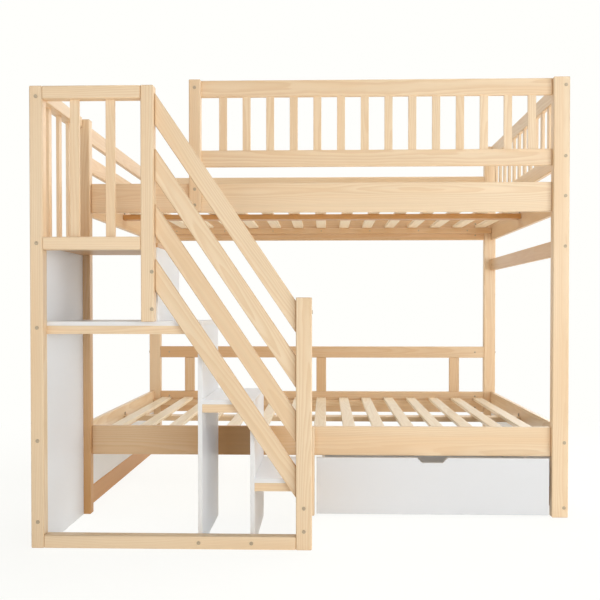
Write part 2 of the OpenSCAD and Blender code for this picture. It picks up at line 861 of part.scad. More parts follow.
module stair_bearers() {
    behind_nosing = tread_front_y + nosing_depth;
    color(PINE) placed() {
        bearer(cage_left_x, behind_nosing, shelf_top);
        bearer(middle_riser_left - bearer_width, behind_nosing, shelf_top);
        bearer(middle_riser_left + panel_thick, behind_nosing, middle_tread_top);
        bearer(lower_riser_left - bearer_width, behind_nosing, middle_tread_top);
        bearer(lower_riser_left + panel_thick, behind_nosing, lower_tread_top);
        bearer(newel_left_x, stair_inner_y, lower_tread_top);
    }
}

// Sloping boards between the newels, cut off upright at both ends

module slope_board(drop) {
    overrun = slope_board_height;
    length = slope_run / cos(slope_angle) + 2 * overrun;
    intersection() {
        translate([cage_newel_x, slope_y, slope_head_z - drop]) rotate([0, slope_angle, 0])
            translate([-overrun, 0, -slope_board_height / 2])
            bar_x(0, length, 0, 0, slope_board_thick, slope_board_height);
        translate([cage_newel_x, slope_y - overcut, 0])
            cube([slope_run, slope_board_thick + 2 * overcut, cage_height]);
    }
}

module stair_guard_boards() {
    color(PINE) placed() difference() {
        for (i = [0 : slope_boards - 1]) slope_board(i * slope_pitch);
        bolt_holes(newel_side_bolts);
    }
}

module connector_bolts() {
    color(STEEL) placed() at_bolts(all_bolts) bolt();
}

// Drawer

module drawer_front() {
    color(DRAWER_WHITE) placed() difference() {
        translate([drawer_left_x, drawer_front_inset, drawer_floor_gap])
            cube([drawer_right_x - drawer_left_x, drawer_front_thick,
                  drawer_front_top - drawer_floor_gap]);
        translate([drawer_mid_x, drawer_box_y + overcut, drawer_front_top]) rotate([90, 0, 0])
            linear_extrude(drawer_front_thick + 2 * overcut)
            polygon([[-notch_width / 2, overcut], [-notch_width / 2, 0],
                     [-notch_foot_width / 2, -notch_depth], [notch_foot_width / 2, -notch_depth],
                     [notch_width / 2, 0], [notch_width / 2, overcut]]);
    }
}

module drawer_sides() {
    color(DRAWER_WHITE) placed()
        for (x = [drawer_box_left, drawer_box_right - drawer_side_thick])
        translate([x, drawer_box_y, bracket_top])
        cube([drawer_side_thick, drawer_depth, drawer_side_height]);
}

module drawer_back() {
    color(DRAWER_WHITE) placed()
        translate([drawer_box_left + drawer_side_thick,
                   drawer_box_y + drawer_depth - drawer_side_thick, bracket_top])
        cube([drawer_box_right - drawer_box_left - 2 * drawer_side_thick, drawer_side_thick,
              drawer_side_height]);
}

module drawer_bottom() {
    color(DRAWER_WHITE) placed()
        translate([drawer_box_left + drawer_side_thick, drawer_box_y, bracket_top])
        cube([drawer_box_right - drawer_box_left - 2 * drawer_side_thick,
              drawer_depth - drawer_side_thick, drawer_bottom_thick]);
}

// Castors: a fixed fork under the drawer bottom, an axle with two heads, and a wheel

module castor_bracket() {
    plate_half = fork_half + bracket_steel + bracket_flange;
    difference() {
        union() {
            translate([-plate_half, -ear_width / 2 - plate_lip, bracket_top - bracket_steel])
                cube([2 * plate_half, ear_width + 2 * plate_lip, bracket_steel]);
            for (x = [-fork_half - bracket_steel, fork_half])
                translate([x, -ear_width / 2, wheel_radius - ear_drop])
                cube([bracket_steel, ear_width,
                      bracket_top - bracket_steel / 2 - wheel_radius + ear_drop]);
        }
        translate([-fork_half - bracket_steel - overcut, 0, wheel_radius]) rotate([0, 90, 0])
            cylinder(r = axle_radius + axle_play, h = 2 * (fork_half + bracket_steel + overcut));
    }
}

module castor_brackets() {
    color(STEEL) placed() for (p = castor_spots) translate([p[0], p[1], 0]) castor_bracket();
}

module castor_axles() {
    reach = fork_half + bracket_steel;
    color(STEEL) placed() for (p = castor_spots)
        translate([p[0], p[1], wheel_radius]) rotate([0, 90, 0]) {
            translate([0, 0, -reach]) cylinder(r = axle_radius, h = 2 * reach);
            for (z = [-reach - axle_head, reach])
                translate([0, 0, z]) cylinder(r = axle_head_radius, h = axle_head);
        }
}

module castor_wheel(i) {
    ease = 2;
    bore = axle_radius + axle_play;
    half = wheel_width / 2;
    color(CASTOR) placed() translate([castor_spots[i][0], castor_spots[i][1], wheel_radius])
        rotate([0, 90, 0]) rotate_extrude($fn = 72)
        polygon([[bore, -half], [wheel_radius - ease, -half], [wheel_radius, ease - half],
                 [wheel_radius, half - ease], [wheel_radius - ease, half], [bore, half]]);
}

module castor_wheel_1() { castor_wheel(0); }
module castor_wheel_2() { castor_wheel(1); }
module castor_wheel_3() { castor_wheel(2); }
module castor_wheel_4() { castor_wheel(3); }

post_front_right();
post_back_right();
post_front_left();
post_back_left();
leg_front_middle();
guard_post();
upper_front_rail();
upper_back_rail();
upper_end_rails();
upper_side_cleats();
upper_centre_beam();
upper_slats();
front_guard_boards();
front_guard_balusters();
right_guard_boards();
right_guard_balusters();
left_guard_boards();
back_guard_boards();
right_mid_rail();
lower_front_rail();
lower_back_rail();
lower_end_rails();
lower_side_cleats();
lower_centre_beam();
lower_slats();
back_rest_rail();
back_rest_uprights();
end_tie_rails();
end_panels();
stair_left_post();
stair_upper_newel();
stair_lower_newel();
stair_bottom_rail();
landing_top_rail();
landing_front_rail();
landing_front_balusters();
stair_side_rails();
landing_side_balusters();
landing_board();
stair_bearers();
stair_side_panel();
upper_riser();
middle_riser();
lower_riser();
shelf_tread();
middle_tread();
lower_tread();
tread_nosings();
stair_guard_boards();
connector_bolts();
drawer_front();
drawer_sides();
drawer_back();
drawer_bottom();
castor_brackets();
castor_axles();
castor_wheel_1();
castor_wheel_2();
castor_wheel_3();
castor_wheel_4();
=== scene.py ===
"""Looks of a stairway bunk bed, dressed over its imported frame.

Every length is in metres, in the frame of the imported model. Boards are rebuilt from the
solids of the frame with eased edges, and each one is sawn from its own place in an endless
tree, so that its rings, fibres and knots run through the wood.
"""

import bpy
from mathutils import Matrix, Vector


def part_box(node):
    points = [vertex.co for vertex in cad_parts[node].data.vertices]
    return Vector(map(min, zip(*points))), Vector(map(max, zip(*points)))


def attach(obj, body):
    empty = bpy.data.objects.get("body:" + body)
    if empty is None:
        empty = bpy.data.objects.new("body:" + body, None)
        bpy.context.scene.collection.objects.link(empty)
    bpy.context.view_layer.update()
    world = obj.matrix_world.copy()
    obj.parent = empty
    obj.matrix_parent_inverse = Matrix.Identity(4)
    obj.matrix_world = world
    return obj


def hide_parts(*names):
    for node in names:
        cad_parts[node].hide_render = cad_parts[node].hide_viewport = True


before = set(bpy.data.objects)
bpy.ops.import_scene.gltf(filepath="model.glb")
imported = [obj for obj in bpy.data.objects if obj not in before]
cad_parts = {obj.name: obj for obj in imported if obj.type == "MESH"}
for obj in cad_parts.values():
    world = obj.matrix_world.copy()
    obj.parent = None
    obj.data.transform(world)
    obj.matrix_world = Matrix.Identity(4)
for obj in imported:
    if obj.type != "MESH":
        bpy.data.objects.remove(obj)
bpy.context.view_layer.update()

import logging
import math
import random
from collections.abc import Callable, Iterable, Sequence
from dataclasses import dataclass, replace
from enum import Enum

import bmesh
import bpy
from mathutils import Matrix, Vector

logging.basicConfig(level=logging.INFO, format="%(message)s")
log = logging.getLogger("bunk_bed")

# Distance in metres within which two points touch, and angle in radians of a clear corner
TOUCH = 1e-5
CORNER_ANGLE = 0.6

Triple = tuple[float, float, float]
Colour = tuple[float, float, float, float]
Seat = tuple[Vector, Vector]

# Share of painted shade, a darker brown colour, on the boards that show browner because they sit
# in shade, at even steps from the low end of the board to the high end
PAINTED_SHADE = {
    "post_front_left": (0.95, 0.0),
    "post_back_left": (0.15, 0.15),
    "post_back_right": (0.1, 0.1),
    "upper_back_rail": (0.45, 0.45),
    "lower_back_rail": (0.5, 0.15),
    "left_guard_boards": (0.2, 0.2),
    "upper_end_rails": (0.25, 0.25),
    "back_rest_rail": (0.65, 0.05),
    "back_rest_uprights": (0.3, 0.3),
    "end_tie_rails": (1.0, 1.0),
    "right_mid_rail": (0.35, 0.35),
    "landing_board": (0.6, 0.6),
    "lower_front_rail": (0.4, 0.4, 0.5, 0.95, 0.7, 0.0, 0.0, 0.0, 0.0, 0.0, 0.0),
    "front_guard_boards": (0.1, 0.1),
    "upper_centre_beam": (0.95, 0.95),
    "upper_side_cleats": (0.5, 0.5),
    "lower_side_cleats": (0.2, 0.2),
}
NO_PAINTED_SHADE = (0.0, 0.0)


class Slot(Enum):
    """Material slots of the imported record."""

    PINE = "pine"
    SLATS = "slat_pine"
    PANEL = "white_panel"
    DRAWER = "drawer_white"
    STEEL = "zinc_steel"
    CASTOR = "castor_nylon"


class Body(Enum):
    """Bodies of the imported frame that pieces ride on."""

    BED = "bed_frame"
    DRAWER = "drawer"


class Recess(Enum):
    """What a driver fits into on a fastener's head."""

    HEX = "hex"
    SLOT = "slot"
    CROSS = "cross"


def colour(red: float, green: float, blue: float) -> Colour:
    """Turns a display colour into the scene's linear one.

    Args:
        red: Red on a scale of 0 to 255.
        green: Green on the same scale.
        blue: Blue on the same scale.

    Returns:
        Linear red, green, blue and an alpha of 1.
    """
    knee, low_slope, lift, power = 0.04045, 12.92, 0.055, 2.4
    shares = [level / 255 for level in (red, green, blue)]
    linear = [
        share / low_slope if share <= knee else ((share + lift) / (1 + lift)) ** power
        for share in shares
    ]
    return (*linear, 1.0)


@dataclass(frozen=True)
class Block:
    """A straight block along the frame's axes."""

    low: Vector
    high: Vector

    @classmethod
    def around(cls, points: Iterable[Vector]) -> "Block":
        """The smallest block that holds the points."""
        points = list(points)
        return cls(
            Vector([min(p[i] for p in points) for i in range(3)]),
            Vector([max(p[i] for p in points) for i in range(3)]),
        )

    @classmethod
    def of(cls, node: str) -> "Block":
        """The block round a whole CAD node."""
        return cls(*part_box(node))

    @property
    def middle(self) -> Vector:
        """The block's centre."""
        return (self.low + self.high) / 2

    @property
    def size(self) -> Vector:
        """The block's three lengths."""
        return self.high - self.low

    def axes(self) -> list[int]:
        """Numbers of the block's axes, the longest first."""
        return sorted(range(3), key=lambda i: -self.size[i])

    def matrix(self) -> Matrix:
        """Takes a unit cube at the origin to this block."""
        return Matrix.Translation(self.middle) @ Matrix.Diagonal((*self.size, 1.0))


def unit(axis: int, sign: float = 1.0) -> Vector:
    """A vector of length one along a numbered axis."""
    return Vector([sign if i == axis else 0.0 for i in range(3)])


def loose_parts(node: str) -> list[list[Vector]]:
    """Finds the separate solids of a CAD node in a merged copy of its mesh.

    Args:
        node: Name of the CAD node.

    Returns:
        The corner points of each solid, sorted by where the solid lies.
    """
    mesh = bmesh.new()
    mesh.from_mesh(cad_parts[node].data)
    bmesh.ops.remove_doubles(mesh, verts=mesh.verts[:], dist=TOUCH)
    left = set(mesh.verts)
    parts = []
    while left:
        reached = [left.pop()]
        points = []
        while reached:
            vertex = reached.pop()
            points.append(vertex.co.copy())
            for edge in vertex.link_edges:
                other = edge.other_vert(vertex)
                if other in left:
                    left.remove(other)
                    reached.append(other)
        parts.append(points)
    mesh.free()
    return sorted(parts, key=lambda points: tuple(round(c, 4) for c in Block.around(points).low))


# Finishes


class Recipe:
    """Short calls that build a material's nodes."""

    def __init__(self, name: str) -> None:
        """Starts an empty material.

        Args:
            name: Its name.
        """
        self.material = bpy.data.materials.new(name)
        self.material.use_nodes = True
        self.tree = self.material.node_tree
        self.tree.nodes.clear()

    def feed(self, socket: bpy.types.NodeSocket, value: object) -> None:
        """Links a node's output to a socket, or sets the socket to a plain value.

        Args:
            socket: The socket.
            value: The output or the plain value.
        """
        if isinstance(value, bpy.types.NodeSocket):
            self.tree.links.new(value, socket)
        else:
            socket.default_value = value

    def node(self, kind: str, inputs: dict | None = None, **settings: object) -> bpy.types.Node:
        """Adds a node.

        Args:
            kind: Type of the node, without the word ShaderNode.
            inputs: Values or outputs for its sockets, by name or number.
            settings: Its own settings.

        Returns:
            The new node.
        """
        made = self.tree.nodes.new("ShaderNode" + kind)
        for name, value in settings.items():
            setattr(made, name, value)
        for key, value in (inputs or {}).items():
            self.feed(made.inputs[key], value)
        return made

    def maths(self, operation: str, *values: object) -> bpy.types.NodeSocket:
        """One step of arithmetic on numbers."""
        return self.node("Math", dict(enumerate(values)), operation=operation).outputs[0]

    def vectors(self, operation: str, *values: object) -> bpy.types.NodeSocket:
        """One step of arithmetic on vectors."""
        made = self.node("VectorMath", dict(enumerate(values)), operation=operation)
        return made.outputs["Value" if operation == "LENGTH" else "Vector"]

    def noise(
        self, place: object, cells: float | Triple, detail: float = 2.0, rough: float = 0.5,
        output: str = "Fac",
    ) -> bpy.types.NodeSocket:
        """Cloudy noise from 0 to 1.

        Args:
            place: Where it is read.
            cells: Number of its cells in a metre, all ways or along each axis.
            detail: Number of finer layers.
            rough: Strength of the finer layers.
            output: Name of the noise's output.

        Returns:
            The noise.
        """
        scale = cells if isinstance(cells, tuple) else (cells,) * 3
        inputs = {
            "Vector": self.vectors("MULTIPLY", place, scale),
            "Scale": 1.0,
            "Detail": detail,
            "Roughness": rough,
        }
        return self.node("TexNoise", inputs).outputs[output]

    def rise(self, value: object, start: float, end: float) -> bpy.types.NodeSocket:
        """Goes softly from 0 to 1 while the value goes from start to end."""
        inputs = {"Value": value, "From Min": start, "From Max": end}
        return self.node("MapRange", inputs, interpolation_type="SMOOTHSTEP").outputs["Result"]

    def spread(self, value: object, low: float, high: float) -> bpy.types.NodeSocket:
        """Stretches a value from 0..1 to low..high."""
        inputs = {"Value": value, "To Min": low, "To Max": high}
        return self.node("MapRange", inputs).outputs["Result"]

    def mix(self, share: object, first: object, second: object) -> bpy.types.NodeSocket:
        """Mixes two colours."""
        return self.node("Mix", {0: share, 6: first, 7: second}, data_type="RGBA").outputs[2]

    def shade(self, tint: object, strength: object) -> bpy.types.NodeSocket:
        """Multiplies a colour by a number."""
        made = self.node("VectorMath", {0: tint, "Scale": strength}, operation="SCALE")
        return made.outputs["Vector"]

    def bump(self, height: object, depth: float, strength: float = 1.0) -> bpy.types.NodeSocket:
        """Turns a height from 0 to 1 into a relief of that depth."""
        inputs = {"Height": height, "Distance": depth, "Strength": strength}
        return self.node("Bump", inputs).outputs["Normal"]

    def attribute(self, name: str, output: str = "Fac") -> bpy.types.NodeSocket:
        """Reads one of the piece's own layers."""
        return self.node("Attribute", attribute_name=name).outputs[output]

    def places(self) -> bpy.types.NodeSocket:
        """The object's own coordinates, in metres."""
        return self.node("TexCoord").outputs["Object"]

    def surface(self, inputs: dict) -> bpy.types.Material:
        """Ends the material in one principled shader.

        Args:
            inputs: Values or outputs for the shader's sockets, by name.

        Returns:
            The material.
        """
        shader = self.node("BsdfPrincipled", inputs)
        self.node("OutputMaterial", {"Surface": shader.outputs[0]})
        return self.material


class SkyRecipe(Recipe):
    """The same short calls for a world's nodes."""

    def __init__(self, name: str) -> None:
        """Starts an empty world.

        Args:
            name: Its name.
        """
        self.world = bpy.data.worlds.new(name)
        self.world.use_nodes = True
        self.tree = self.world.node_tree
        self.tree.nodes.clear()


@dataclass(frozen=True)
class PineFinish:
    """Clear-lacquered pine with rings round a pith, fibres and a few small knots, browned by
    painted shade where a board sits in shade.

    Cells are the number of a pattern's patches in a metre, along the grain and across it.
    """

    name: str = "lacquered_pine"
    early: Colour = colour(243, 221, 189)
    late: Colour = colour(214, 172, 120)
    blush: Colour = colour(236, 202, 160)
    knot: Colour = colour(172, 120, 74)
    sawn: Colour = colour(205, 163, 114)
    # Painted shade: a browner colour laid on boards where they sit in shade
    painted_shade: Colour = colour(203, 149, 88)
    ring_pitch: float = 0.0052
    ring_share: float = 0.36
    sway_cells: Triple = (0.9, 3.0, 3.0)
    sway: float = 0.07
    quiver_cells: Triple = (9.0, 60.0, 60.0)
    quiver: float = 0.004
    fibre_cells: Triple = (22.0, 900.0, 900.0)
    streak_cells: Triple = (1.6, 90.0, 90.0)
    cloud_cells: Triple = (1.1, 12.0, 12.0)
    knot_share: float = 0.012
    knot_cells: tuple[float, float] = (3.1, 11.0)
    knot_radius: tuple[float, float] = (0.0025, 0.006)
    knot_squeeze: float = 0.8
    knot_push: float = 0.006
    relief: float = 0.00012
    roughness: float = 0.42
    roughness_range: float = 0.16

    def knots(self, mix: Recipe, along: object, across: object) -> tuple[object, object]:
        """Scatters small round knots over the board's face.

        Args:
            mix: The material's nodes.
            along: Distance along the grain.
            across: Distance across the face.

        Returns:
            The mask of the knots and the wider halo where the rings bend round them.
        """
        cells_along, cells_across = self.knot_cells
        scaled = {
            0: mix.maths("MULTIPLY", along, cells_along),
            1: mix.maths("MULTIPLY", across, cells_across),
        }
        place = mix.node("CombineXYZ", scaled).outputs[0]
        cell = mix.node("TexVoronoi", {"Vector": place, "Scale": 1.0}, voronoi_dimensions="2D")
        gap = mix.vectors("SUBTRACT", place, cell.outputs["Position"])
        in_metres = (self.knot_squeeze / cells_along, 1 / cells_across, 0.0)
        distance = mix.vectors("LENGTH", mix.vectors("MULTIPLY", gap, in_metres))
        chance = mix.node("SeparateColor", {0: cell.outputs["Color"]})
        chosen = mix.maths("GREATER_THAN", chance.outputs[0], 1 - self.knot_share)
        radius = mix.spread(chance.outputs[1], *self.knot_radius)
        measure = mix.maths("DIVIDE", distance, radius)
        mask = mix.maths("MULTIPLY", mix.rise(measure, 1.05, 0.8), chosen)
        halo = mix.maths("MULTIPLY", mix.rise(measure, 4.5, 0.8), chosen)
        return mask, halo

    def push(self, mix: Recipe, grain: object, cells: Triple, reach: float) -> object:
        """Pushes places to and fro across the grain.

        Args:
            mix: The material's nodes.
            grain: Place in the tree.
            cells: Number of pushes in a metre, along each axis.
            reach: Distance between the furthest pushes.

        Returns:
            The push at each place.
        """
        cloud = mix.noise(grain, cells, detail=1.0, output="Color")
        centred = mix.vectors("SUBTRACT", cloud, (0.5, 0.5, 0.5))
        return mix.vectors("MULTIPLY", centred, (0.0, reach, reach))

    def rings(self, mix: Recipe, grain: object, parts: bpy.types.Node, halo: object) -> object:
        """Late wood of the year rings, from 0 in early wood to 1.

        Args:
            mix: The material's nodes.
            grain: Place in the tree.
            parts: The same place as three numbers.
            halo: Where knots push the rings aside.

        Returns:
            How far the wood is late wood.
        """
        place = mix.node("CombineXYZ", {1: parts.outputs[1], 2: parts.outputs[2]}).outputs[0]
        for cells, reach in ((self.sway_cells, self.sway), (self.quiver_cells, self.quiver)):
            place = mix.vectors("ADD", place, self.push(mix, grain, cells, reach))
        radius = mix.maths("MULTIPLY_ADD", halo, self.knot_push, mix.vectors("LENGTH", place))
        year = mix.maths("FRACT", mix.maths("DIVIDE", radius, self.ring_pitch))
        return mix.maths("MULTIPLY", mix.rise(year, 0.15, 0.85), mix.rise(year, 1.0, 0.9))

    def material(self) -> bpy.types.Material:
        """Builds the finish."""
        mix = Recipe(self.name)
        grain = mix.attribute("grain", "Vector")
        parts = mix.node("SeparateXYZ", {0: grain})
        mask, halo = self.knots(mix, parts.outputs[0], parts.outputs[1])
        late = self.rings(mix, grain, parts, halo)
        fibre = mix.noise(grain, self.fibre_cells, 3.0, 0.6)
        streak = mix.noise(grain, self.streak_cells, 3.0, 0.6)
        cloud = mix.noise(grain, self.cloud_cells)
        tone = mix.attribute("tone")
        wood = mix.mix(mix.maths("MULTIPLY", late, self.ring_share), self.early, self.late)
        warmth = mix.maths("MULTIPLY", mix.rise(cloud, 0.35, 0.75), 0.55)
        wood = mix.mix(mix.maths("MULTIPLY_ADD", tone, 0.25, warmth), wood, self.blush)
        # Paints shade: browns the wood by the board's share of painted shade
        wood = mix.mix(mix.attribute("painted_shade"), wood, self.painted_shade)
        for share, strength, tint in (
            (halo, 0.25, self.late),
            (mask, 0.75, self.knot),
            (mix.attribute("cut"), 0.6, self.sawn),
        ):
            wood = mix.mix(mix.maths("MULTIPLY", share, strength), wood, tint)
        light = mix.spread(streak, 0.93, 1.06)
        light = mix.maths("MULTIPLY", light, mix.spread(fibre, 0.965, 1.03))
        light = mix.maths("MULTIPLY", light, mix.spread(tone, 1.02, 0.97))
        smoothest = self.roughness - self.roughness_range / 2
        rough = mix.maths("MULTIPLY_ADD", fibre, self.roughness_range, smoothest)
        relief = mix.maths("MULTIPLY_ADD", late, 0.5, mix.maths("MULTIPLY", fibre, 0.5))
        return mix.surface(
            {
                "Base Color": mix.shade(wood, light),
                "Roughness": rough,
                "Specular IOR Level": 0.4,
                "Coat Weight": 0.2,
                "Coat Roughness": 0.25,
                "Normal": mix.bump(relief, self.relief),
            }
        )


@dataclass(frozen=True)
class LaminateFinish:
    """Satin white board with a faint orange-peel skin and banded edges."""

    name: str = "white_laminate"
    face: Colour = colour(237, 240, 244)
    band: Colour = colour(236, 236, 236)
    peel_cells: float = 650.0
    cloud_cells: float = 7.0
    scuff_cells: Triple = (45.0, 45.0, 9.0)
    relief: float = 0.00005
    roughness: float = 0.38
    roughness_range: float = 0.14

    def material(self) -> bpy.types.Material:
        """Builds the finish."""
        mix = Recipe(self.name)
        place = mix.places()
        peel = mix.noise(place, self.peel_cells)
        cloud = mix.noise(place, self.cloud_cells, 3.0)
        scuff = mix.noise(place, self.scuff_cells, 4.0, 0.65)
        smoothest = self.roughness - self.roughness_range / 2
        tint = mix.mix(mix.attribute("cut"), self.face, self.band)
        return mix.surface(
            {
                "Base Color": mix.shade(tint, mix.spread(cloud, 0.985, 1.01)),
                "Roughness": mix.maths("MULTIPLY_ADD", scuff, self.roughness_range, smoothest),
                "Specular IOR Level": 0.45,
                "Normal": mix.bump(peel, self.relief, 0.7),
            }
        )


@dataclass(frozen=True)
class MetalFinish:
    """Dull plated steel with faint turning marks, small patches and dark sockets, whose colour is
    partly their oxide and partly painted shade.
    """

    name: str = "zinc_steel"
    plate: Colour = colour(180, 164, 140)
    worn: Colour = colour(156, 139, 115)
    # Colour of the drivers' recesses: partly the dark oxide of a real recess, partly painted shade
    # in the hollow
    socket: Colour = colour(84, 68, 52)
    patch_cells: float = 160.0
    mark_cells: Triple = (2400.0, 2400.0, 500.0)
    relief: float = 0.00003
    metallic: float = 0.4
    roughness: float = 0.5
    roughness_range: float = 0.2

    def material(self) -> bpy.types.Material:
        """Builds the finish."""
        mix = Recipe(self.name)
        place = mix.places()
        patch = mix.noise(place, self.patch_cells, 3.0, 0.6)
        marks = mix.noise(place, self.mark_cells)
        smoothest = self.roughness - self.roughness_range / 2
        tint = mix.mix(mix.rise(patch, 0.5, 0.8), self.plate, self.worn)
        return mix.surface(
            {
                # Paints the recesses dark: partly their oxide, partly painted shade
                "Base Color": mix.mix(mix.attribute("cut"), tint, self.socket),
                "Metallic": self.metallic,
                "Roughness": mix.maths("MULTIPLY_ADD", patch, self.roughness_range, smoothest),
                "Normal": mix.bump(marks, self.relief, 0.5),
            }
        )


@dataclass(frozen=True)
class NylonFinish:
    """Dark moulded nylon with a fine grained skin and patches of dust."""

    name: str = "castor_nylon"
    skin: Colour = colour(74, 74, 77)
    dust: Colour = colour(112, 110, 107)
    grit_cells: float = 1800.0
    dust_cells: float = 110.0
    relief: float = 0.00006

    def material(self) -> bpy.types.Material:
        """Builds the finish."""
        mix = Recipe(self.name)
        place = mix.places()
        grit = mix.noise(place, self.grit_cells)
        dust = mix.noise(place, self.dust_cells, 4.0, 0.7)
        return mix.surface(
            {
                "Base Color": mix.mix(mix.rise(dust, 0.5, 0.85), self.skin, self.dust),
                "Roughness": mix.spread(dust, 0.35, 0.6),
                "Normal": mix.bump(grit, self.relief, 0.6),
            }
        )


class Finishes:
    """The bed's finishes, each built once."""

    def __init__(self) -> None:
        """Builds a material for each slot of the record."""
        slats = PineFinish(
            name="slat_pine", early=colour(254, 240, 212), blush=colour(251, 230, 197),
            ring_share=0.2,
        )
        drawer = LaminateFinish(
            name="drawer_lacquer", face=colour(224, 226, 229), band=colour(218, 219, 221)
        )
        finishes = {
            Slot.PINE: PineFinish(),
            Slot.SLATS: slats,
            Slot.PANEL: LaminateFinish(),
            Slot.DRAWER: drawer,
            Slot.STEEL: MetalFinish(),
            Slot.CASTOR: NylonFinish(),
        }
        self.materials = {slot: finish.material() for slot, finish in finishes.items()}

    def look(self, slot: Slot) -> bpy.types.Material:
        """The material that goes with a slot of the record."""
        return self.materials[slot]


# Making pieces


@dataclass
class Bench:
    """A workbench on which one piece is made, board by board.

    The mesh carries what the finishes read: "grain", a place in the tree; "tone", how warm
    the board is; "painted_shade", its share of painted shade, a browner colour where the board
    sits in shade; and "cut", 1 on sawn ends, banded edges and the sockets of fasteners, whose
    dark colour is partly their oxide and partly painted shade.
    """

    name: str
    finishes: Finishes
    painted_shade_steps: tuple[float, ...] = NO_PAINTED_SHADE
    end_ease: float = 0.0022
    long_steps: int = 3
    tree_length: float = 60.0
    pith_aside: float = 0.045
    pith_deep: tuple[float, float] = (0.03, 0.09)
    banded_lean: float = 0.5
    sawn_lean: float = 0.6

    def __post_init__(self) -> None:
        """Clears the bench."""
        self.mesh = bmesh.new()
        self.grain = self.mesh.verts.layers.float_vector.new("grain")
        self.tone = self.mesh.verts.layers.float.new("tone")
        # Share of painted shade, a browner colour where the board sits in shade
        self.painted_shade = self.mesh.verts.layers.float.new("painted_shade")
        self.cut = self.mesh.loops.layers.float.new("cut")
        self.chance = random.Random(self.name)
        self.known: set[bmesh.types.BMVert] = set()

    def fresh(self) -> list[bmesh.types.BMVert]:
        """The vertices of the board that is being made."""
        return [vertex for vertex in self.mesh.verts if vertex not in self.known]

    def edges(self, test: Callable[[bmesh.types.BMEdge], bool]) -> list[bmesh.types.BMEdge]:
        """The edges of the board that is being made, where the test holds."""
        found = {edge: None for vertex in self.fresh() for edge in vertex.link_edges}
        return [edge for edge in found if test(edge)]

    def whole(self) -> list[bmesh.types.BMVert | bmesh.types.BMEdge | bmesh.types.BMFace]:
        """All vertices, edges and faces of the board that is being made."""
        return self.fresh() + self.edges(lambda edge: True) + list(self.faces())

    def faces(self) -> set[bmesh.types.BMFace]:
        """The faces of the board that is being made."""
        return {face for vertex in self.fresh() for face in vertex.link_faces}

    def painted_shade_at(self, share: float) -> float:
        """How much painted shade, a browner colour, there is at one place of the board.

        Args:
            share: Share of the board's length, from its low end.

        Returns:
            The share of painted shade.
        """
        steps = len(self.painted_shade_steps) - 1
        step = min(int(share * steps), steps - 1)
        low, high = self.painted_shade_steps[step:step + 2]
        return low + (high - low) * (share * steps - step)

    def ease(self, edges: Sequence[bmesh.types.BMEdge], offset: float, steps: int) -> None:
        """Rounds edges over.

        Args:
            edges: The edges.
            offset: Distance that the rounding takes from each face.
            steps: Number of faces over the rounding.
        """
        rounded = bmesh.ops.bevel(
            self.mesh, geom=list(edges), offset=offset, offset_type="OFFSET", segments=steps,
            profile=0.5, affect="EDGES", clamp_overlap=True, material=-1,
        )
        for face in rounded["faces"]:
            face.smooth = True

    def finish_board(
        self, middle: Vector, along: Vector, wide: Vector, banded: bool, sawn: Vector | None = None
    ) -> None:
        """Gives the board its place in the tree and marks its cut faces.

        Args:
            middle: Middle of the board.
            along: Direction of its length.
            wide: Direction of its width.
            banded: True marks every narrow edge, as on a laminated board.
            sawn: Direction that the sawn ends face, where it isn't that of the length.
        """
        thick = along.cross(wide)
        sawn = sawn or along
        start = self.chance.uniform(0, self.tree_length)
        turned = self.chance.choice((-1, 1))
        pith_side = self.chance.uniform(-self.pith_aside, self.pith_aside)
        pith_deep = self.chance.choice((-1, 1)) * self.chance.uniform(*self.pith_deep)
        tone = self.chance.random()
        fresh = self.fresh()
        half = max(abs((vertex.co - middle).dot(along)) for vertex in fresh)
        for vertex in fresh:
            reach = vertex.co - middle
            vertex[self.grain] = (
                start + turned * reach.dot(along),
                reach.dot(wide) + pith_side,
                reach.dot(thick) + pith_deep,
            )
            vertex[self.tone] = tone
            # Paints shade along the board, from its steps of painted shade
            vertex[self.painted_shade] = self.painted_shade_at(0.5 + reach.dot(along) / (2 * half))
        self.mesh.normal_update()
        for face in self.faces():
            if banded:
                marked = abs(face.normal.dot(thick)) < self.banded_lean
            else:
                marked = abs(face.normal.dot(sawn)) > self.sawn_lean
            for loop in face.loops:
                loop[self.cut] = float(marked)
        self.known = set(self.mesh.verts)

    def plank(self, block: Block, ease: float, banded: bool = False) -> None:
        """Makes a straight board.

        Args:
            block: The board's block.
            ease: Rounding of its long edges.
            banded: True for a laminated board, whose grain doesn't show.
        """
        bmesh.ops.create_cube(self.mesh, size=1.0, matrix=block.matrix())
        long, wide, _ = block.axes()
        if not banded:
            self.ease(self.edges(lambda edge: runs(edge, long)), ease, self.long_steps)
            self.ease(self.edges(lambda edge: level(edge, long)), self.end_ease, 1)
            # Cuts the board at each step of its painted shade, so that the shade can change along
            # it
            steps = len(self.painted_shade_steps) - 1
            for step in range(1, steps):
                place = block.low + block.size * (step / steps)
                bmesh.ops.bisect_plane(
                    self.mesh, geom=self.whole(), dist=TOUCH / 10, plane_co=place,
                    plane_no=unit(long),
                )
        else:
            self.ease(self.edges(lambda edge: True), ease, 2)
        self.finish_board(block.middle, unit(long), unit(wide), banded)

    def prism(self, outline: Sequence[Vector], reach: Vector) -> None:
        """Sweeps an outline into a solid.

        Args:
            outline: Corners of the outline, in order.
            reach: The sweep.
        """
        face = self.mesh.faces.new([self.mesh.verts.new(corner) for corner in outline])
        swept = bmesh.ops.extrude_face_region(self.mesh, geom=[face])["geom"]
        moved = [item for item in swept if isinstance(item, bmesh.types.BMVert)]
        bmesh.ops.translate(self.mesh, verts=moved, vec=reach)
        self.point_outwards()

    def point_outwards(self) -> None:
        """Turns the faces of the board that is being made outwards."""
        bmesh.ops.recalc_face_normals(self.mesh, faces=list(self.faces()))
        self.mesh.normal_update()

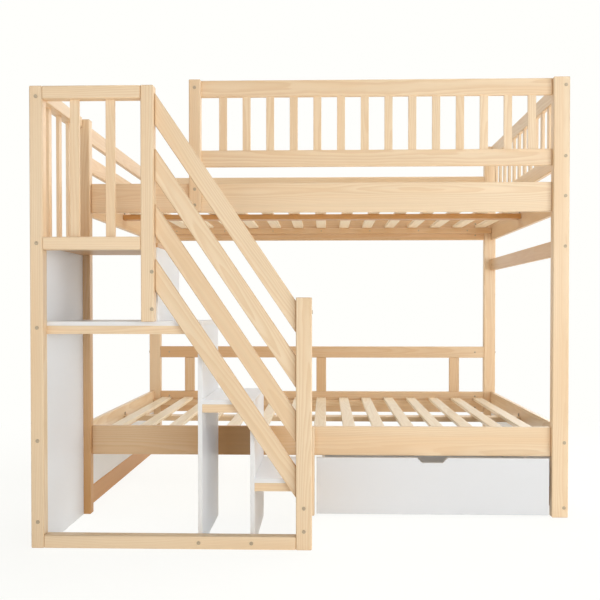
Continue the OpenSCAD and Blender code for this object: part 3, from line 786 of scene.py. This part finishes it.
    def notched(self, block: Block, passing: Block, through: int, ease: float) -> None:
        """Makes a laminated board with one corner cut away where another piece goes past.

        Args:
            block: The board's block.
            passing: Block of the piece that goes past.
            through: Number of the axis along which the cut runs right through.
            ease: Rounding of its edges.
        """
        first, second = [i for i in range(3) if i != through]
        near, far, step = {}, {}, {}
        for i in (first, second):
            low_side = passing.low[i] <= block.low[i] + TOUCH
            near[i] = block.low[i] if low_side else block.high[i]
            far[i] = block.high[i] if low_side else block.low[i]
            step[i] = passing.high[i] if low_side else passing.low[i]
        ring = [
            (far[first], far[second]), (near[first], far[second]), (near[first], step[second]),
            (step[first], step[second]), (step[first], near[second]), (far[first], near[second]),
        ]
        outline = []
        for a, b in ring:
            corner = Vector((0.0, 0.0, 0.0))
            corner[first], corner[second], corner[through] = a, b, block.low[through]
            outline.append(corner)
        self.prism(outline, unit(through, block.size[through]))
        long, wide, _ = block.axes()
        self.ease(self.edges(lambda edge: edge.is_convex), ease, 2)
        self.finish_board(block.middle, unit(long), unit(wide), True)

    def comb(self, block: Block, boards: Sequence[Block], ease: float) -> None:
        """Makes a post whose back is cut away where boards cross behind it.

        Args:
            block: The post's block.
            boards: Blocks of the boards, the lowest first.
            ease: Rounding of the post's long edges.
        """
        heights = [block.low.z]
        for board in boards:
            heights += [max(board.low.z, block.low.z), min(board.high.z, block.high.z)]
        heights.append(block.high.z)
        ring = [(block.low.y, block.high.z), (block.low.y, block.low.z)]
        for number, (low, high) in enumerate(zip(heights, heights[1:])):
            y = boards[0].low.y if number % 2 else block.high.y
            if high - low > TOUCH:
                ring += [(y, low), (y, high)]
        outline = [Vector((block.low.x, y, z)) for y, z in ring]
        self.prism(outline, unit(0, block.size.x))
        self.ease(self.edges(lambda edge: edge.is_convex and runs(edge, 2)), ease, self.long_steps)
        ends = (block.low.z + TOUCH, block.high.z - TOUCH)
        rims = self.edges(
            lambda edge: level(edge, 2) and sharp(edge)
            and not ends[0] < edge.verts[0].co.z < ends[1]
        )
        self.ease(rims, self.end_ease, 1)
        self.finish_board(block.middle, unit(2), unit(0), False)

    def sloping(self, points: Sequence[Vector], ease: float) -> None:
        """Makes a board that runs down to the right and is cut off upright at both ends.

        Args:
            points: Corners of the CAD solid.
            ease: Rounding of its long edges.
        """
        block = Block.around(points)
        ends = []
        for x in (block.low.x, block.high.x):
            heights = [point.z for point in points if abs(point.x - x) < TOUCH]
            ends.append((min(heights), max(heights)))
        fall = (sum(ends[0]) - sum(ends[1])) / 2
        angle = math.atan2(fall, block.size.x)
        height = (ends[0][1] - ends[0][0]) * math.cos(angle)
        middle = Vector((block.middle.x, block.middle.y, (sum(ends[0]) + sum(ends[1])) / 4))
        length = block.size.x / math.cos(angle) + 2 * height
        turn = Matrix.Rotation(angle, 4, "Y")
        size = Matrix.Diagonal((length, block.size.y, height, 1.0))
        bmesh.ops.create_cube(self.mesh, size=1.0, matrix=size)
        self.ease(self.edges(lambda edge: runs(edge, 0)), ease, self.long_steps)
        place = Matrix.Translation(middle) @ turn
        bmesh.ops.transform(self.mesh, matrix=place, verts=self.fresh())
        for x, outwards in ((block.low.x, -1.0), (block.high.x, 1.0)):
            sawn = bmesh.ops.bisect_plane(
                self.mesh, geom=self.whole(), dist=TOUCH / 10, plane_co=(x, 0, 0),
                plane_no=(outwards, 0, 0), clear_outer=True,
            )
            rim = [item for item in sawn["geom_cut"] if isinstance(item, bmesh.types.BMEdge)]
            bmesh.ops.contextual_create(self.mesh, geom=rim)
        self.point_outwards()
        self.ease(self.edges(lambda edge: level(edge, 0) and sharp(edge)), 1.5 * self.end_ease, 1)
        self.finish_board(middle, turn @ unit(0), turn @ unit(2), False, unit(0))

    def stamp(self, model: bpy.types.Mesh, place: Matrix) -> None:
        """Adds a copy of a small model.

        Args:
            model: The model, round the origin.
            place: Where it goes.
        """
        self.mesh.from_mesh(model)
        bmesh.ops.transform(self.mesh, matrix=place, verts=self.fresh())
        self.known = set(self.mesh.verts)

    def model(self) -> bpy.types.Mesh:
        """Takes the mesh off the bench."""
        made = bpy.data.meshes.new(self.name)
        self.mesh.normal_update()
        self.mesh.to_mesh(made)
        self.mesh.free()
        return made

    def deliver(self, slot: Slot, body: Body | str, *nodes: str) -> bpy.types.Object:
        """Finishes the piece and puts it on its body.

        Args:
            slot: Its material slot.
            body: The body that it rides on.
            nodes: The CAD nodes that it stands for.

        Returns:
            The piece.
        """
        made = self.model()
        made.materials.append(self.finishes.look(slot))
        piece = added(self.name, made)
        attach(piece, body.value if isinstance(body, Body) else body)
        if nodes:
            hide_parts(*nodes)
        log.info("%s: %d faces", self.name, len(made.polygons))
        return piece


def added(name: str, data: bpy.types.ID) -> bpy.types.Object:
    """Adds an object to the scene.

    Args:
        name: The object's name.
        data: Its mesh, camera or light.

    Returns:
        The object.
    """
    made = bpy.data.objects.new(name, data)
    bpy.context.scene.collection.objects.link(made)
    return made


def runs(edge: bmesh.types.BMEdge, axis: int) -> bool:
    """True for an edge that is parallel to the axis."""
    first, second = (vertex.co for vertex in edge.verts)
    return all(abs(first[i] - second[i]) < TOUCH for i in range(3) if i != axis)


def level(edge: bmesh.types.BMEdge, axis: int) -> bool:
    """True for an edge that is square to the axis."""
    first, second = (vertex.co for vertex in edge.verts)
    return abs(first[axis] - second[axis]) < TOUCH


def sharp(edge: bmesh.types.BMEdge) -> bool:
    """True for an edge with a clear corner."""
    return edge.calc_face_angle(0.0) > CORNER_ANGLE


# Sub-assemblies


@dataclass
class Joinery:
    """What the wooden sub-assemblies share: boards that follow their CAD solids."""

    finishes: Finishes
    board_ease: float = 0.003
    post_ease: float = 0.004
    square_ease: float = 0.001
    panel_ease: float = 0.0006

    def timber(self, node: str, ease: float | None = None) -> None:
        """Dresses a node whose solids are all straight boards of pine.

        Args:
            node: The node.
            ease: Rounding of the long edges, where it isn't that of a board.
        """
        # Boards listed in the table get painted shade, a browner colour where they sit in shade
        bench = Bench(f"{node}_pine", self.finishes, PAINTED_SHADE.get(node, NO_PAINTED_SHADE))
        for points in loose_parts(node):
            bench.plank(Block.around(points), self.board_ease if ease is None else ease)
        bench.deliver(Slot.SLATS if node.endswith("_slats") else Slot.PINE, Body.BED, node)

    def lapped(self, node: str, *boards: Block) -> None:
        """Dresses a post that is cut away behind, where it laps over boards.

        Args:
            node: The post's node.
            boards: Blocks of the boards, the lowest first.
        """
        bench = Bench(f"{node}_pine", self.finishes)
        bench.comb(Block.of(node), boards, self.post_ease)
        bench.deliver(Slot.PINE, Body.BED, node)

    def panel(self, node: str, slot: Slot = Slot.PANEL, body: Body = Body.BED) -> None:
        """Dresses a node whose solids are all straight laminated boards.

        Args:
            node: The node.
            slot: Its material slot.
            body: The body that it rides on.
        """
        bench = Bench(f"{node}_laminate", self.finishes)
        for points in loose_parts(node):
            bench.plank(Block.around(points), self.panel_ease, banded=True)
        bench.deliver(slot, body, node)

    def notched_panel(self, node: str, passing: str, through: int) -> None:
        """Dresses a laminated board that is notched round another piece.

        Args:
            node: The board's node.
            passing: Node of the other piece.
            through: Number of the axis along which the cut runs right through.
        """
        bench = Bench(f"{node}_laminate", self.finishes)
        bench.notched(Block.of(node), Block.of(passing), through, self.panel_ease)
        bench.deliver(Slot.PANEL, Body.BED, node)


@dataclass
class BedFrame(Joinery):
    """Posts, rails and end panels."""

    posts: tuple[str, ...] = (
        "post_front_right", "post_back_right", "post_front_left", "post_back_left",
    )
    rails: tuple[str, ...] = (
        "upper_front_rail", "upper_back_rail", "upper_end_rails", "lower_front_rail",
        "lower_back_rail", "lower_end_rails", "right_mid_rail", "end_tie_rails",
        "back_rest_rail", "back_rest_uprights",
    )

    def build(self) -> None:
        """Builds the posts and rails."""
        for post in self.posts:
            self.timber(post, self.post_ease)
        for rail in self.rails:
            self.timber(rail)
        self.lapped("leg_front_middle", Block.of("lower_front_rail"))
        guards = [Block.around(points) for points in loose_parts("front_guard_boards")]
        self.lapped("guard_post", Block.of("upper_front_rail"), *guards)
        self.panel("end_panels")


@dataclass
class SlatPlatforms(Joinery):
    """Cleats, centre beams and slats of both berths."""

    def build(self) -> None:
        """Builds both platforms."""
        for berth in ("upper", "lower"):
            for part in ("side_cleats", "centre_beam", "slats"):
                self.timber(f"{berth}_{part}")


@dataclass
class Guards(Joinery):
    """Guard boards and balusters of the upper berth."""

    boards: tuple[str, ...] = (
        "front_guard_boards", "right_guard_boards", "left_guard_boards", "back_guard_boards",
    )
    balusters: tuple[str, ...] = ("front_guard_balusters", "right_guard_balusters")

    def build(self) -> None:
        """Builds the guards."""
        for boards in self.boards:
            self.timber(boards)
        for balusters in self.balusters:
            self.timber(balusters, self.square_ease)


@dataclass
class Staircase(Joinery):
    """Newels, treads, risers, landing cage and sloping guard boards."""

    posts: tuple[str, ...] = (
        "stair_left_post", "stair_upper_newel", "stair_lower_newel", "stair_bottom_rail",
        "landing_top_rail", "landing_front_rail",
    )
    square: tuple[str, ...] = (
        "landing_front_balusters", "landing_side_balusters", "landing_board",
        "stair_bearers", "tread_nosings",
    )

    def build(self) -> None:
        """Builds the staircase."""
        for post in self.posts:
            self.timber(post, self.post_ease)
        self.timber("stair_side_rails")
        for piece in self.square:
            self.timber(piece, self.square_ease)
        for panel in ("stair_side_panel", "upper_riser", "shelf_tread", "middle_tread"):
            self.panel(panel)
        for riser in ("middle_riser", "lower_riser"):
            self.notched_panel(riser, "stair_bottom_rail", 0)
        self.notched_panel("lower_tread", "stair_lower_newel", 2)
        bench = Bench("stair_guard_boards_pine", self.finishes)
        for points in loose_parts("stair_guard_boards"):
            bench.sloping(points, self.board_ease)
        bench.deliver(Slot.PINE, Body.BED, "stair_guard_boards")


@dataclass
class Drawer(Joinery):
    """The drawer under the lower berth, with its finger notch."""

    notch_half: float = 0.0605
    notch_foot_half: float = 0.042
    notch_depth: float = 0.020

    def build(self) -> None:
        """Builds the front and the box."""
        self.front()
        for part in ("drawer_sides", "drawer_back", "drawer_bottom"):
            self.panel(part, Slot.DRAWER, Body.DRAWER)

    def front(self) -> None:
        """Builds the front board with its notch."""
        block = Block.of("drawer_front")
        low, high, middle = block.low, block.high, block.middle.x
        foot = high.z - self.notch_depth
        ring = [
            (low.x, low.z), (high.x, low.z), (high.x, high.z), (middle + self.notch_half, high.z),
            (middle + self.notch_foot_half, foot), (middle - self.notch_foot_half, foot),
            (middle - self.notch_half, high.z), (low.x, high.z),
        ]
        bench = Bench("drawer_front_lacquer", self.finishes)
        bench.prism([Vector((x, low.y, z)) for x, z in ring], unit(1, block.size.y))
        bench.ease(bench.edges(lambda edge: edge.is_convex and sharp(edge)), self.square_ease, 2)
        bench.finish_board(block.middle, unit(0), unit(2), True)
        bench.deliver(Slot.DRAWER, Body.DRAWER, "drawer_front")


@dataclass
class Castors:
    """Fixed castors: fork, axle and grooved wheel."""

    finishes: Finishes
    count: int = 4
    steel: float = 0.0025
    plate_corner: float = 0.003
    plate_ease: float = 0.0004
    ear_round: float = 0.55
    axle_head: float = 0.0015
    axle_radius: float = 0.003
    tyre_depth: float = 0.005
    tyre_shoulder: float = 0.002
    tyre_groove: float = 0.0012
    hub_radius: float = 0.0085
    web_depth: float = 0.0022
    web_slant: float = 0.0008
    bore: float = 0.00306
    turns: int = 40

    def build(self) -> None:
        """Builds brackets, axles and wheels."""
        brackets = Bench("castor_brackets_steel", self.finishes)
        for points in loose_parts("castor_brackets"):
            self.bracket(brackets, Block.around(points), points)
        brackets.deliver(Slot.STEEL, Body.DRAWER, "castor_brackets")
        axles = Bench("castor_axles_steel", self.finishes)
        for points in loose_parts("castor_axles"):
            self.axle(axles, Block.around(points))
        axles.deliver(Slot.STEEL, Body.DRAWER, "castor_axles")
        for number in range(1, self.count + 1):
            self.wheel(number)

    def bracket(self, bench: Bench, block: Block, points: Sequence[Vector]) -> None:
        """Makes a plate with two ears that are rounded at the bottom.

        Args:
            bench: Where the brackets are made.
            block: Block of the whole bracket.
            points: Corners of the CAD solid.
        """
        plate = Block(Vector((block.low.x, block.low.y, block.high.z - self.steel)), block.high)
        bmesh.ops.create_cube(bench.mesh, size=1.0, matrix=plate.matrix())
        bench.ease(bench.edges(lambda edge: runs(edge, 2)), self.plate_corner, 3)
        rims = bench.edges(lambda edge: level(edge, 2) and sharp(edge))
        bench.ease(rims, self.plate_ease, 1)
        bench.finish_board(plate.middle, unit(0), unit(1), False)
        lowest = [point for point in points if point.z < block.low.z + TOUCH]
        half = max(point.y for point in lowest) - block.middle.y
        reach = [abs(point.x - block.middle.x) for point in lowest]
        for side in (-1, 1):
            left, right = sorted((side * min(reach), side * max(reach)))
            ear = Block(
                Vector((block.middle.x + left, block.middle.y - half, block.low.z)),
                Vector((block.middle.x + right, block.middle.y + half, plate.low.z)),
            )
            bmesh.ops.create_cube(bench.mesh, size=1.0, matrix=ear.matrix())
            foot = bench.edges(
                lambda edge: runs(edge, 0) and edge.verts[0].co.z < block.low.z + TOUCH
            )
            bench.ease(foot, half * self.ear_round, 5)
            bench.finish_board(ear.middle, unit(2), unit(1), False)

    def axle(self, bench: Bench, block: Block) -> None:
        """Makes an axle with two domed heads.

        Args:
            bench: Where the axles are made.
            block: Block of the axle.
        """
        head, radius, half = self.axle_head, block.size.z / 2, block.size.x / 2
        end = [
            (half - head, self.axle_radius), (half - head, radius),
            (half - head * 0.5, radius), (half, radius * 0.6), (half, 0.0),
        ]
        self.turn(bench, block.middle, [*mirrored(end), *end], closed=False)

    def turn(
        self, bench: Bench, middle: Vector, profile: Sequence[tuple[float, float]], closed: bool
    ) -> None:
        """Turns a profile round a line along X.

        Args:
            bench: Where the piece is made.
            middle: Middle of the turned piece.
            profile: Distances along the line and from it.
            closed: True if the last point joins the first.
        """
        verts = [bench.mesh.verts.new(middle + Vector((x, 0.0, radius))) for x, radius in profile]
        pairs = list(zip(verts, verts[1:])) + ([(verts[-1], verts[0])] if closed else [])
        edges = [bench.mesh.edges.new(pair) for pair in pairs]
        bmesh.ops.spin(
            bench.mesh, geom=verts + edges, cent=middle, axis=unit(0), dvec=(0, 0, 0),
            angle=2 * math.pi, steps=self.turns, use_merge=True, use_duplicate=False,
        )
        bmesh.ops.remove_doubles(bench.mesh, verts=bench.fresh(), dist=TOUCH)
        bench.point_outwards()
        for face in bench.faces():
            face.smooth = abs(face.normal.x) < 0.95
        bench.known = set(bench.mesh.verts)

    def wheel(self, number: int) -> None:
        """Builds a wheel with a tread groove, a sunk web and a hub.

        Args:
            number: Number of the castor.
        """
        node = f"castor_wheel_{number}"
        block = Block.of(node)
        half, radius = block.size.x / 2, block.size.z / 2
        groove, web, slant = self.tyre_groove, self.web_depth, self.web_slant
        tyre, shoulder = radius - self.tyre_depth, self.tyre_shoulder
        side = [
            (half, self.bore), (half, self.hub_radius), (half - web, self.hub_radius + slant),
            (half - web, tyre - slant), (half, tyre), (half, radius - shoulder),
            (half - 0.3 * shoulder, radius - 0.35 * shoulder), (half - shoulder, radius),
            (groove, radius), (groove * 0.4, radius - groove),
        ]
        bench = Bench(f"{node}_nylon", self.finishes)
        self.turn(bench, block.middle, [*side, *mirrored(side)], closed=True)
        bench.deliver(Slot.CASTOR, f"castor_{number}", node)


def mirrored(profile: Sequence[tuple[float, float]]) -> list[tuple[float, float]]:
    """The other half of a turned profile, in the opposite order."""
    return [(-x, radius) for x, radius in reversed(profile)]


@dataclass(frozen=True)
class Head:
    """A fastener's head, the driver's recess in it and the shank below it."""

    name: str
    radius: float
    height: float
    recess: Recess
    depth: float
    sides: int
    shank: float = 0.0


@dataclass(frozen=True)
class Bolt:
    """A connector bolt of the frame."""

    seat: Vector
    outwards: Vector
    length: float


@dataclass
class Hardware:
    """Connector bolts, their barrel nuts, and the screws of slats and cleats.

    Nuts show in the rails and in the end boards. Bolts into end boards start up to
    front_reach before the bed's front, and further than end_from from its middle.
    """

    finishes: Finishes
    bolt: Head = Head("bolt", 0.0065, 0.0025, Recess.HEX, 0.0019, 24)
    nut: Head = Head("barrel_nut", 0.005, 0.0012, Recess.SLOT, 0.0009, 20)
    slat_screw: Head = Head("slat_screw", 0.0038, 0.0008, Recess.CROSS, 0.0005, 12)
    cleat_screw: Head = Head("cleat_screw", 0.0038, 0.0008, Recess.CROSS, 0.0005, 12)
    shank_radius: float = 0.003
    rim_ease: float = 0.0009
    hex_half: float = 0.0025
    slot_bar: tuple[float, float] = (0.0038, 0.0007)
    cross_bar: tuple[float, float] = (0.0022, 0.0006)
    rail_half: float = 0.010
    nut_proud: float = 0.0003
    front_reach: float = 0.004
    end_from: float = 0.95
    screw_inset: float = 0.012
    screw_shares: tuple[float, float] = (-0.25, 0.25)
    screw_sunk: float = 0.0006
    cleat_screws: int = 7
    hanger: Triple = (0.002, 0.018, 0.015)
    hanger_ease: float = 0.0004

    def build(self) -> None:
        """Builds every fastener."""
        bolts = self.find_bolts()
        self.make_bolts(bolts)
        self.make_heads(self.nut, self.nut_seats(bolts))
        self.make_heads(self.slat_screw, self.slat_screw_seats())
        self.make_heads(self.cleat_screw, self.cleat_screw_seats())
        self.make_beam_hangers()

    def recess(self, kind: Recess, angle: float) -> float:
        """How far a driver's recess reaches in one direction.

        Args:
            kind: Shape of the recess.
            angle: The direction, in radians.

        Returns:
            Distance from the head's middle.
        """
        if kind is Recess.HEX:
            sixth = math.pi / 3
            return self.hex_half / math.cos((angle + sixth / 2) % sixth - sixth / 2)
        along, across = (max(abs(part), TOUCH) for part in (math.cos(angle), math.sin(angle)))
        length, width = self.slot_bar if kind is Recess.SLOT else self.cross_bar
        bar = min(length / along, width / across)
        if kind is Recess.SLOT:
            return bar
        return max(bar, min(length / across, width / along))

    def head(self, kind: Head) -> bpy.types.Mesh:
        """Models a fastener round the origin, with its head standing up along Z.

        Args:
            kind: The fastener.

        Returns:
            The model.
        """
        bench = Bench(kind.name, self.finishes)
        mesh = bench.mesh
        bmesh.ops.create_circle(mesh, cap_ends=True, segments=kind.sides, radius=kind.radius)
        top = lift(mesh, next(iter(mesh.faces)), kind.height)
        bench.point_outwards()
        bench.ease(list(top.edges), min(self.rim_ease, kind.height * 0.45), 2)
        top = max(
            mesh.faces,
            key=lambda face: (round(face.calc_center_median().z, 6), face.calc_area()),
        )
        bmesh.ops.inset_individual(mesh, faces=[top], thickness=kind.radius * 0.3)
        for vertex in top.verts:
            angle = math.atan2(vertex.co.y, vertex.co.x)
            reach = self.recess(kind.recess, angle)
            vertex.co.x, vertex.co.y = reach * math.cos(angle), reach * math.sin(angle)
        floor = lift(mesh, top, -kind.depth)
        floor.smooth = False
        # Marks the recess floor and walls for the dark socket colour, partly oxide and partly
        # painted shade
        for face in {floor} | {face for edge in floor.edges for face in edge.link_faces}:
            for loop in face.loops:
                loop[bench.cut] = 1.0
        if kind.shank:
            base = min(mesh.faces, key=lambda face: face.calc_center_median().z)
            rim = kind.radius - self.shank_radius
            bmesh.ops.inset_individual(mesh, faces=[base], thickness=rim)
            lift(mesh, base, -kind.shank)
        bench.point_outwards()
        return bench.model()

    def find_bolts(self) -> list[Bolt]:
        """Reads each bolt's place from the frame.

        Returns:
            The bolts.
        """
        bolts = []
        for points in loose_parts("connector_bolts"):
            block = Block.around(points)
            axis = block.axes()[0]
            middle = block.middle
            others = [i for i in range(3) if i != axis]
            head = [
                point[axis] for point in points
                if max(abs(point[i] - middle[i]) for i in others) > 1.5 * self.shank_radius
            ]
            sign = 1.0 if sum(head) / len(head) > middle[axis] else -1.0
            seat = middle + unit(axis, sign * (block.size[axis] / 2 - self.bolt.height))
            bolts.append(Bolt(seat, unit(axis, sign), block.size[axis] - self.bolt.height))
        return bolts

    def make_bolts(self, bolts: Sequence[Bolt]) -> None:
        """Builds the bolts' heads and shanks.

        Args:
            bolts: The bolts of the frame.
        """
        bench = Bench("connector_bolts_steel", self.finishes)
        models: dict[float, bpy.types.Mesh] = {}
        for bolt in bolts:
            length = round(bolt.length, 4)
            if length not in models:
                name = f"{self.bolt.name}_{round(length * 1e3)}"
                models[length] = self.head(replace(self.bolt, name=name, shank=length))
            bench.stamp(models[length], placed(bolt.seat, bolt.outwards))
        bench.deliver(Slot.STEEL, Body.BED, "connector_bolts")

    def make_heads(self, kind: Head, seats: Iterable[Seat]) -> None:
        """Builds all the heads of one kind as one piece.

        Args:
            kind: The fastener.
            seats: Where each one sits and which way it faces.
        """
        bench = Bench(f"{kind.name}s_steel", self.finishes)
        model = self.head(kind)
        for seat, outwards in seats:
            bench.stamp(model, placed(seat, outwards))
        bench.deliver(Slot.STEEL, Body.BED)

    def nut_seats(self, bolts: Sequence[Bolt]) -> list[Seat]:
        """Finds the ends of the barrel nuts, on the inner faces of rails and end boards.

        Args:
            bolts: The bolts of the frame.

        Returns:
            The seats.
        """
        bed_front = Block.of("post_front_right").low.y
        bed_middle = Block.of("upper_slats").middle
        seats = []
        for bolt in bolts:
            in_rail = abs(bolt.outwards.x) > 0.5 and bolt.seat.y > bed_front
            in_end = abs(bolt.outwards.y) > 0.5 and abs(bolt.seat.x) > self.end_from
            in_end = in_end and bolt.seat.y > bed_front - self.front_reach
            if not (in_rail or in_end):
                continue
            centre = bolt.seat - bolt.outwards * (bolt.length - self.nut.radius)
            across = 1 if in_rail else 0
            inwards = unit(across, math.copysign(1.0, bed_middle[across] - centre[across]))
            depth = self.rail_half + self.nut_proud - self.nut.height
            seats.append((centre + inwards * depth, inwards))
        return seats

    def slat_screw_seats(self) -> list[Seat]:
        """Finds the places of two countersunk screws at each end of every slat.

        Returns:
            The seats.
        """
        seats = []
        for node in ("upper_slats", "lower_slats"):
            for points in loose_parts(node):
                block = Block.around(points)
                z = block.high.z - self.screw_sunk
                for y in (block.low.y + self.screw_inset, block.high.y - self.screw_inset):
                    for share in self.screw_shares:
                        x = block.middle.x + share * block.size.x
                        seats.append((Vector((x, y, z)), unit(2)))
        return seats

    def cleat_screw_seats(self) -> list[Seat]:
        """Finds the places of the screws that hold the side cleats to the rails.

        Returns:
            The seats.
        """
        seats = []
        for node in ("upper_side_cleats", "lower_side_cleats"):
            middle = Block.of(node).middle
            for points in loose_parts(node):
                block = Block.around(points)
                inwards = math.copysign(1.0, middle.y - block.middle.y)
                y = (block.high.y if inwards > 0 else block.low.y) - self.screw_sunk * inwards
                for i in range(self.cleat_screws):
                    x = block.low.x + block.size.x * (i + 0.5) / self.cleat_screws
                    seats.append((Vector((x, y, block.middle.z)), unit(1, inwards)))
        return seats

    def make_beam_hangers(self) -> None:
        """Builds the plates that stand on the centre beams' ends, against the end rails."""
        size = Vector(self.hanger)
        bench = Bench("beam_hangers_steel", self.finishes)
        for node in ("upper_centre_beam", "lower_centre_beam"):
            beam = Block.of(node)
            for x in (beam.low.x, beam.high.x - size.x):
                low = Vector((x, beam.middle.y - size.y / 2, beam.high.z))
                bench.plank(Block(low, low + size), self.hanger_ease)
        bench.deliver(Slot.STEEL, Body.BED)


def lift(mesh: bmesh.types.BMesh, face: bmesh.types.BMFace, height: float) -> bmesh.types.BMFace:
    """Extrudes a face along Z.

    Args:
        mesh: The mesh.
        face: The face.
        height: Distance along Z.

    Returns:
        The face at the end.
    """
    swept = bmesh.ops.extrude_face_region(mesh, geom=[face])["geom"]
    moved = [item for item in swept if isinstance(item, bmesh.types.BMVert)]
    bmesh.ops.translate(mesh, verts=moved, vec=(0, 0, height))
    return next(item for item in swept if isinstance(item, bmesh.types.BMFace))


def placed(seat: Vector, outwards: Vector) -> Matrix:
    """Takes a model that stands up along Z to a seat and a direction."""
    return Matrix.Translation(seat) @ outwards.to_track_quat("Z", "Y").to_matrix().to_4x4()


# Studio


@dataclass(frozen=True)
class Lamp:
    """A square softbox that faces the bed's middle; its power is in watts."""

    name: str
    place: Triple
    side: float
    power: float
    tint: Triple = (1.0, 1.0, 1.0)


@dataclass
class Studio:
    """Camera, floor and soft lights."""

    lens: float = 50.0
    sensor: float = 36.0
    camera_at: Triple = (0.02675, -3.832, 0.8358)
    camera_turn: Triple = (89.05, 0.0, 1.74)
    shift_up: float = 0.0358
    lamps_at: Triple = (0.0, 0.0, 0.8)
    sky: Colour = colour(255, 255, 252)
    room: Colour = colour(255, 249, 240)
    paper: Colour = colour(244, 242, 238)
    shadow_paper: Colour = (0.16, 0.16, 0.158, 1.0)
    shadow_glow: float = 0.885
    ambient: float = 0.28
    lean: float = 0.3
    floor_glow: float = 0.28
    floor_size: float = 60.0
    floor_fade: tuple[float, float] = (1.4, 3.0)
    lamps: tuple[Lamp, ...] = (
        Lamp("key", (2.6, -5.4, 2.0), 2.6, 70.0, (0.97, 1.0, 1.03)),
        Lamp("opposite", (-2.2, -5.6, 2.0), 2.6, 37.0),
        Lamp("fill", (4.2, -4.0, 0.45), 1.4, 62.0),
        Lamp("side", (5.2, 0.2, 1.3), 2.5, 46.0),
        Lamp("back", (3.2, 4.4, 2.4), 2.5, 62.0),
        Lamp("top", (0.4, 0.6, 4.4), 3.0, 92.0, (0.96, 1.0, 1.04)),
    )

    def build(self) -> None:
        """Builds the studio."""
        self.camera()
        self.floor()
        self.world()
        for lamp in self.lamps:
            self.softbox(lamp)
        scene = bpy.context.scene
        scene.view_settings.view_transform = "Standard"

    def camera(self) -> None:
        """Puts the camera where the photograph was taken from."""
        data = bpy.data.cameras.new("camera")
        data.lens, data.sensor_width, data.shift_y = self.lens, self.sensor, self.shift_up
        camera = added("camera", data)
        camera.location = self.camera_at
        camera.rotation_euler = [math.radians(turn) for turn in self.camera_turn]
        bpy.context.scene.camera = camera

    def softbox(self, lamp: Lamp) -> None:
        """Hangs a lamp.

        Args:
            lamp: What it is and where it hangs.
        """
        data = bpy.data.lights.new(lamp.name, "AREA")
        data.shape, data.size = "SQUARE", lamp.side
        data.energy, data.color = lamp.power, lamp.tint
        hung = added(lamp.name, data)
        hung.location = lamp.place
        aim = Vector(self.lamps_at) - Vector(lamp.place)
        hung.rotation_euler = aim.to_track_quat("-Z", "Y").to_euler()
        hung.visible_camera = False

    def glowing(self, mix: Recipe, paper: object, strength: float) -> bpy.types.NodeSocket:
        """Adds a glow in the background's colour to a shader."""
        glow = mix.node("Emission", {"Color": self.sky, "Strength": strength}).outputs[0]
        return mix.node("AddShader", {0: paper, 1: glow}).outputs[0]

    def floor(self) -> None:
        """Lays a pale floor that keeps a faint shadow and fades into the background."""
        mesh = bmesh.new()
        bmesh.ops.create_circle(mesh, cap_ends=True, segments=64, radius=self.floor_size / 2)
        made = bpy.data.meshes.new("studio_floor")
        mesh.to_mesh(made)
        mesh.free()
        floor = added("studio_floor", made)
        mix = Recipe("studio_floor")
        paper = mix.node("BsdfDiffuse", {"Color": self.paper}).outputs[0]
        matte = self.glowing(mix, paper, self.floor_glow)
        held = mix.node("BsdfDiffuse", {"Color": self.shadow_paper}).outputs[0]
        seen = self.glowing(mix, held, self.shadow_glow)
        pure = mix.node("Emission", {"Color": self.sky, "Strength": 1.0}).outputs[0]
        far = mix.rise(mix.vectors("LENGTH", mix.places()), *self.floor_fade)
        faded = mix.node("MixShader", {0: far, 1: seen, 2: pure}).outputs[0]
        view = mix.node("LightPath").outputs["Is Camera Ray"]
        mixed = mix.node("MixShader", {0: view, 1: matte, 2: faded}).outputs[0]
        mix.node("OutputMaterial", {"Surface": mixed})
        made.materials.append(mix.material)

    def world(self) -> None:
        """Surrounds the bed with light, more of it from the right, and a white background."""
        mix = SkyRecipe("studio_world")
        path = mix.node("LightPath").outputs
        reflected = mix.maths("MAXIMUM", path["Is Glossy Ray"], path["Is Transmission Ray"])
        seen = mix.maths("MAXIMUM", path["Is Camera Ray"], reflected)
        direction = mix.node("TexCoord").outputs["Generated"]
        rightwards = mix.node("SeparateXYZ", {0: direction}).outputs[0]
        strength = mix.maths("MULTIPLY_ADD", rightwards, self.ambient * self.lean, self.ambient)
        room = mix.node("Background", {"Color": self.room, "Strength": strength}).outputs[0]
        sky = mix.node("Background", {"Color": self.sky, "Strength": 1.0}).outputs[0]
        chosen = mix.node("MixShader", {0: seen, 1: room, 2: sky}).outputs[0]
        mix.node("OutputWorld", {"Surface": chosen})
        bpy.context.scene.world = mix.world


def main() -> None:
    """Builds the bed from the floor up and then the studio round it."""
    finishes = Finishes()
    BedFrame(finishes).build()
    SlatPlatforms(finishes).build()
    Guards(finishes).build()
    Staircase(finishes).build()
    Drawer(finishes).build()
    Castors(finishes).build()
    Hardware(finishes).build()
    Studio().build()


if __name__ == "__main__":
    main()
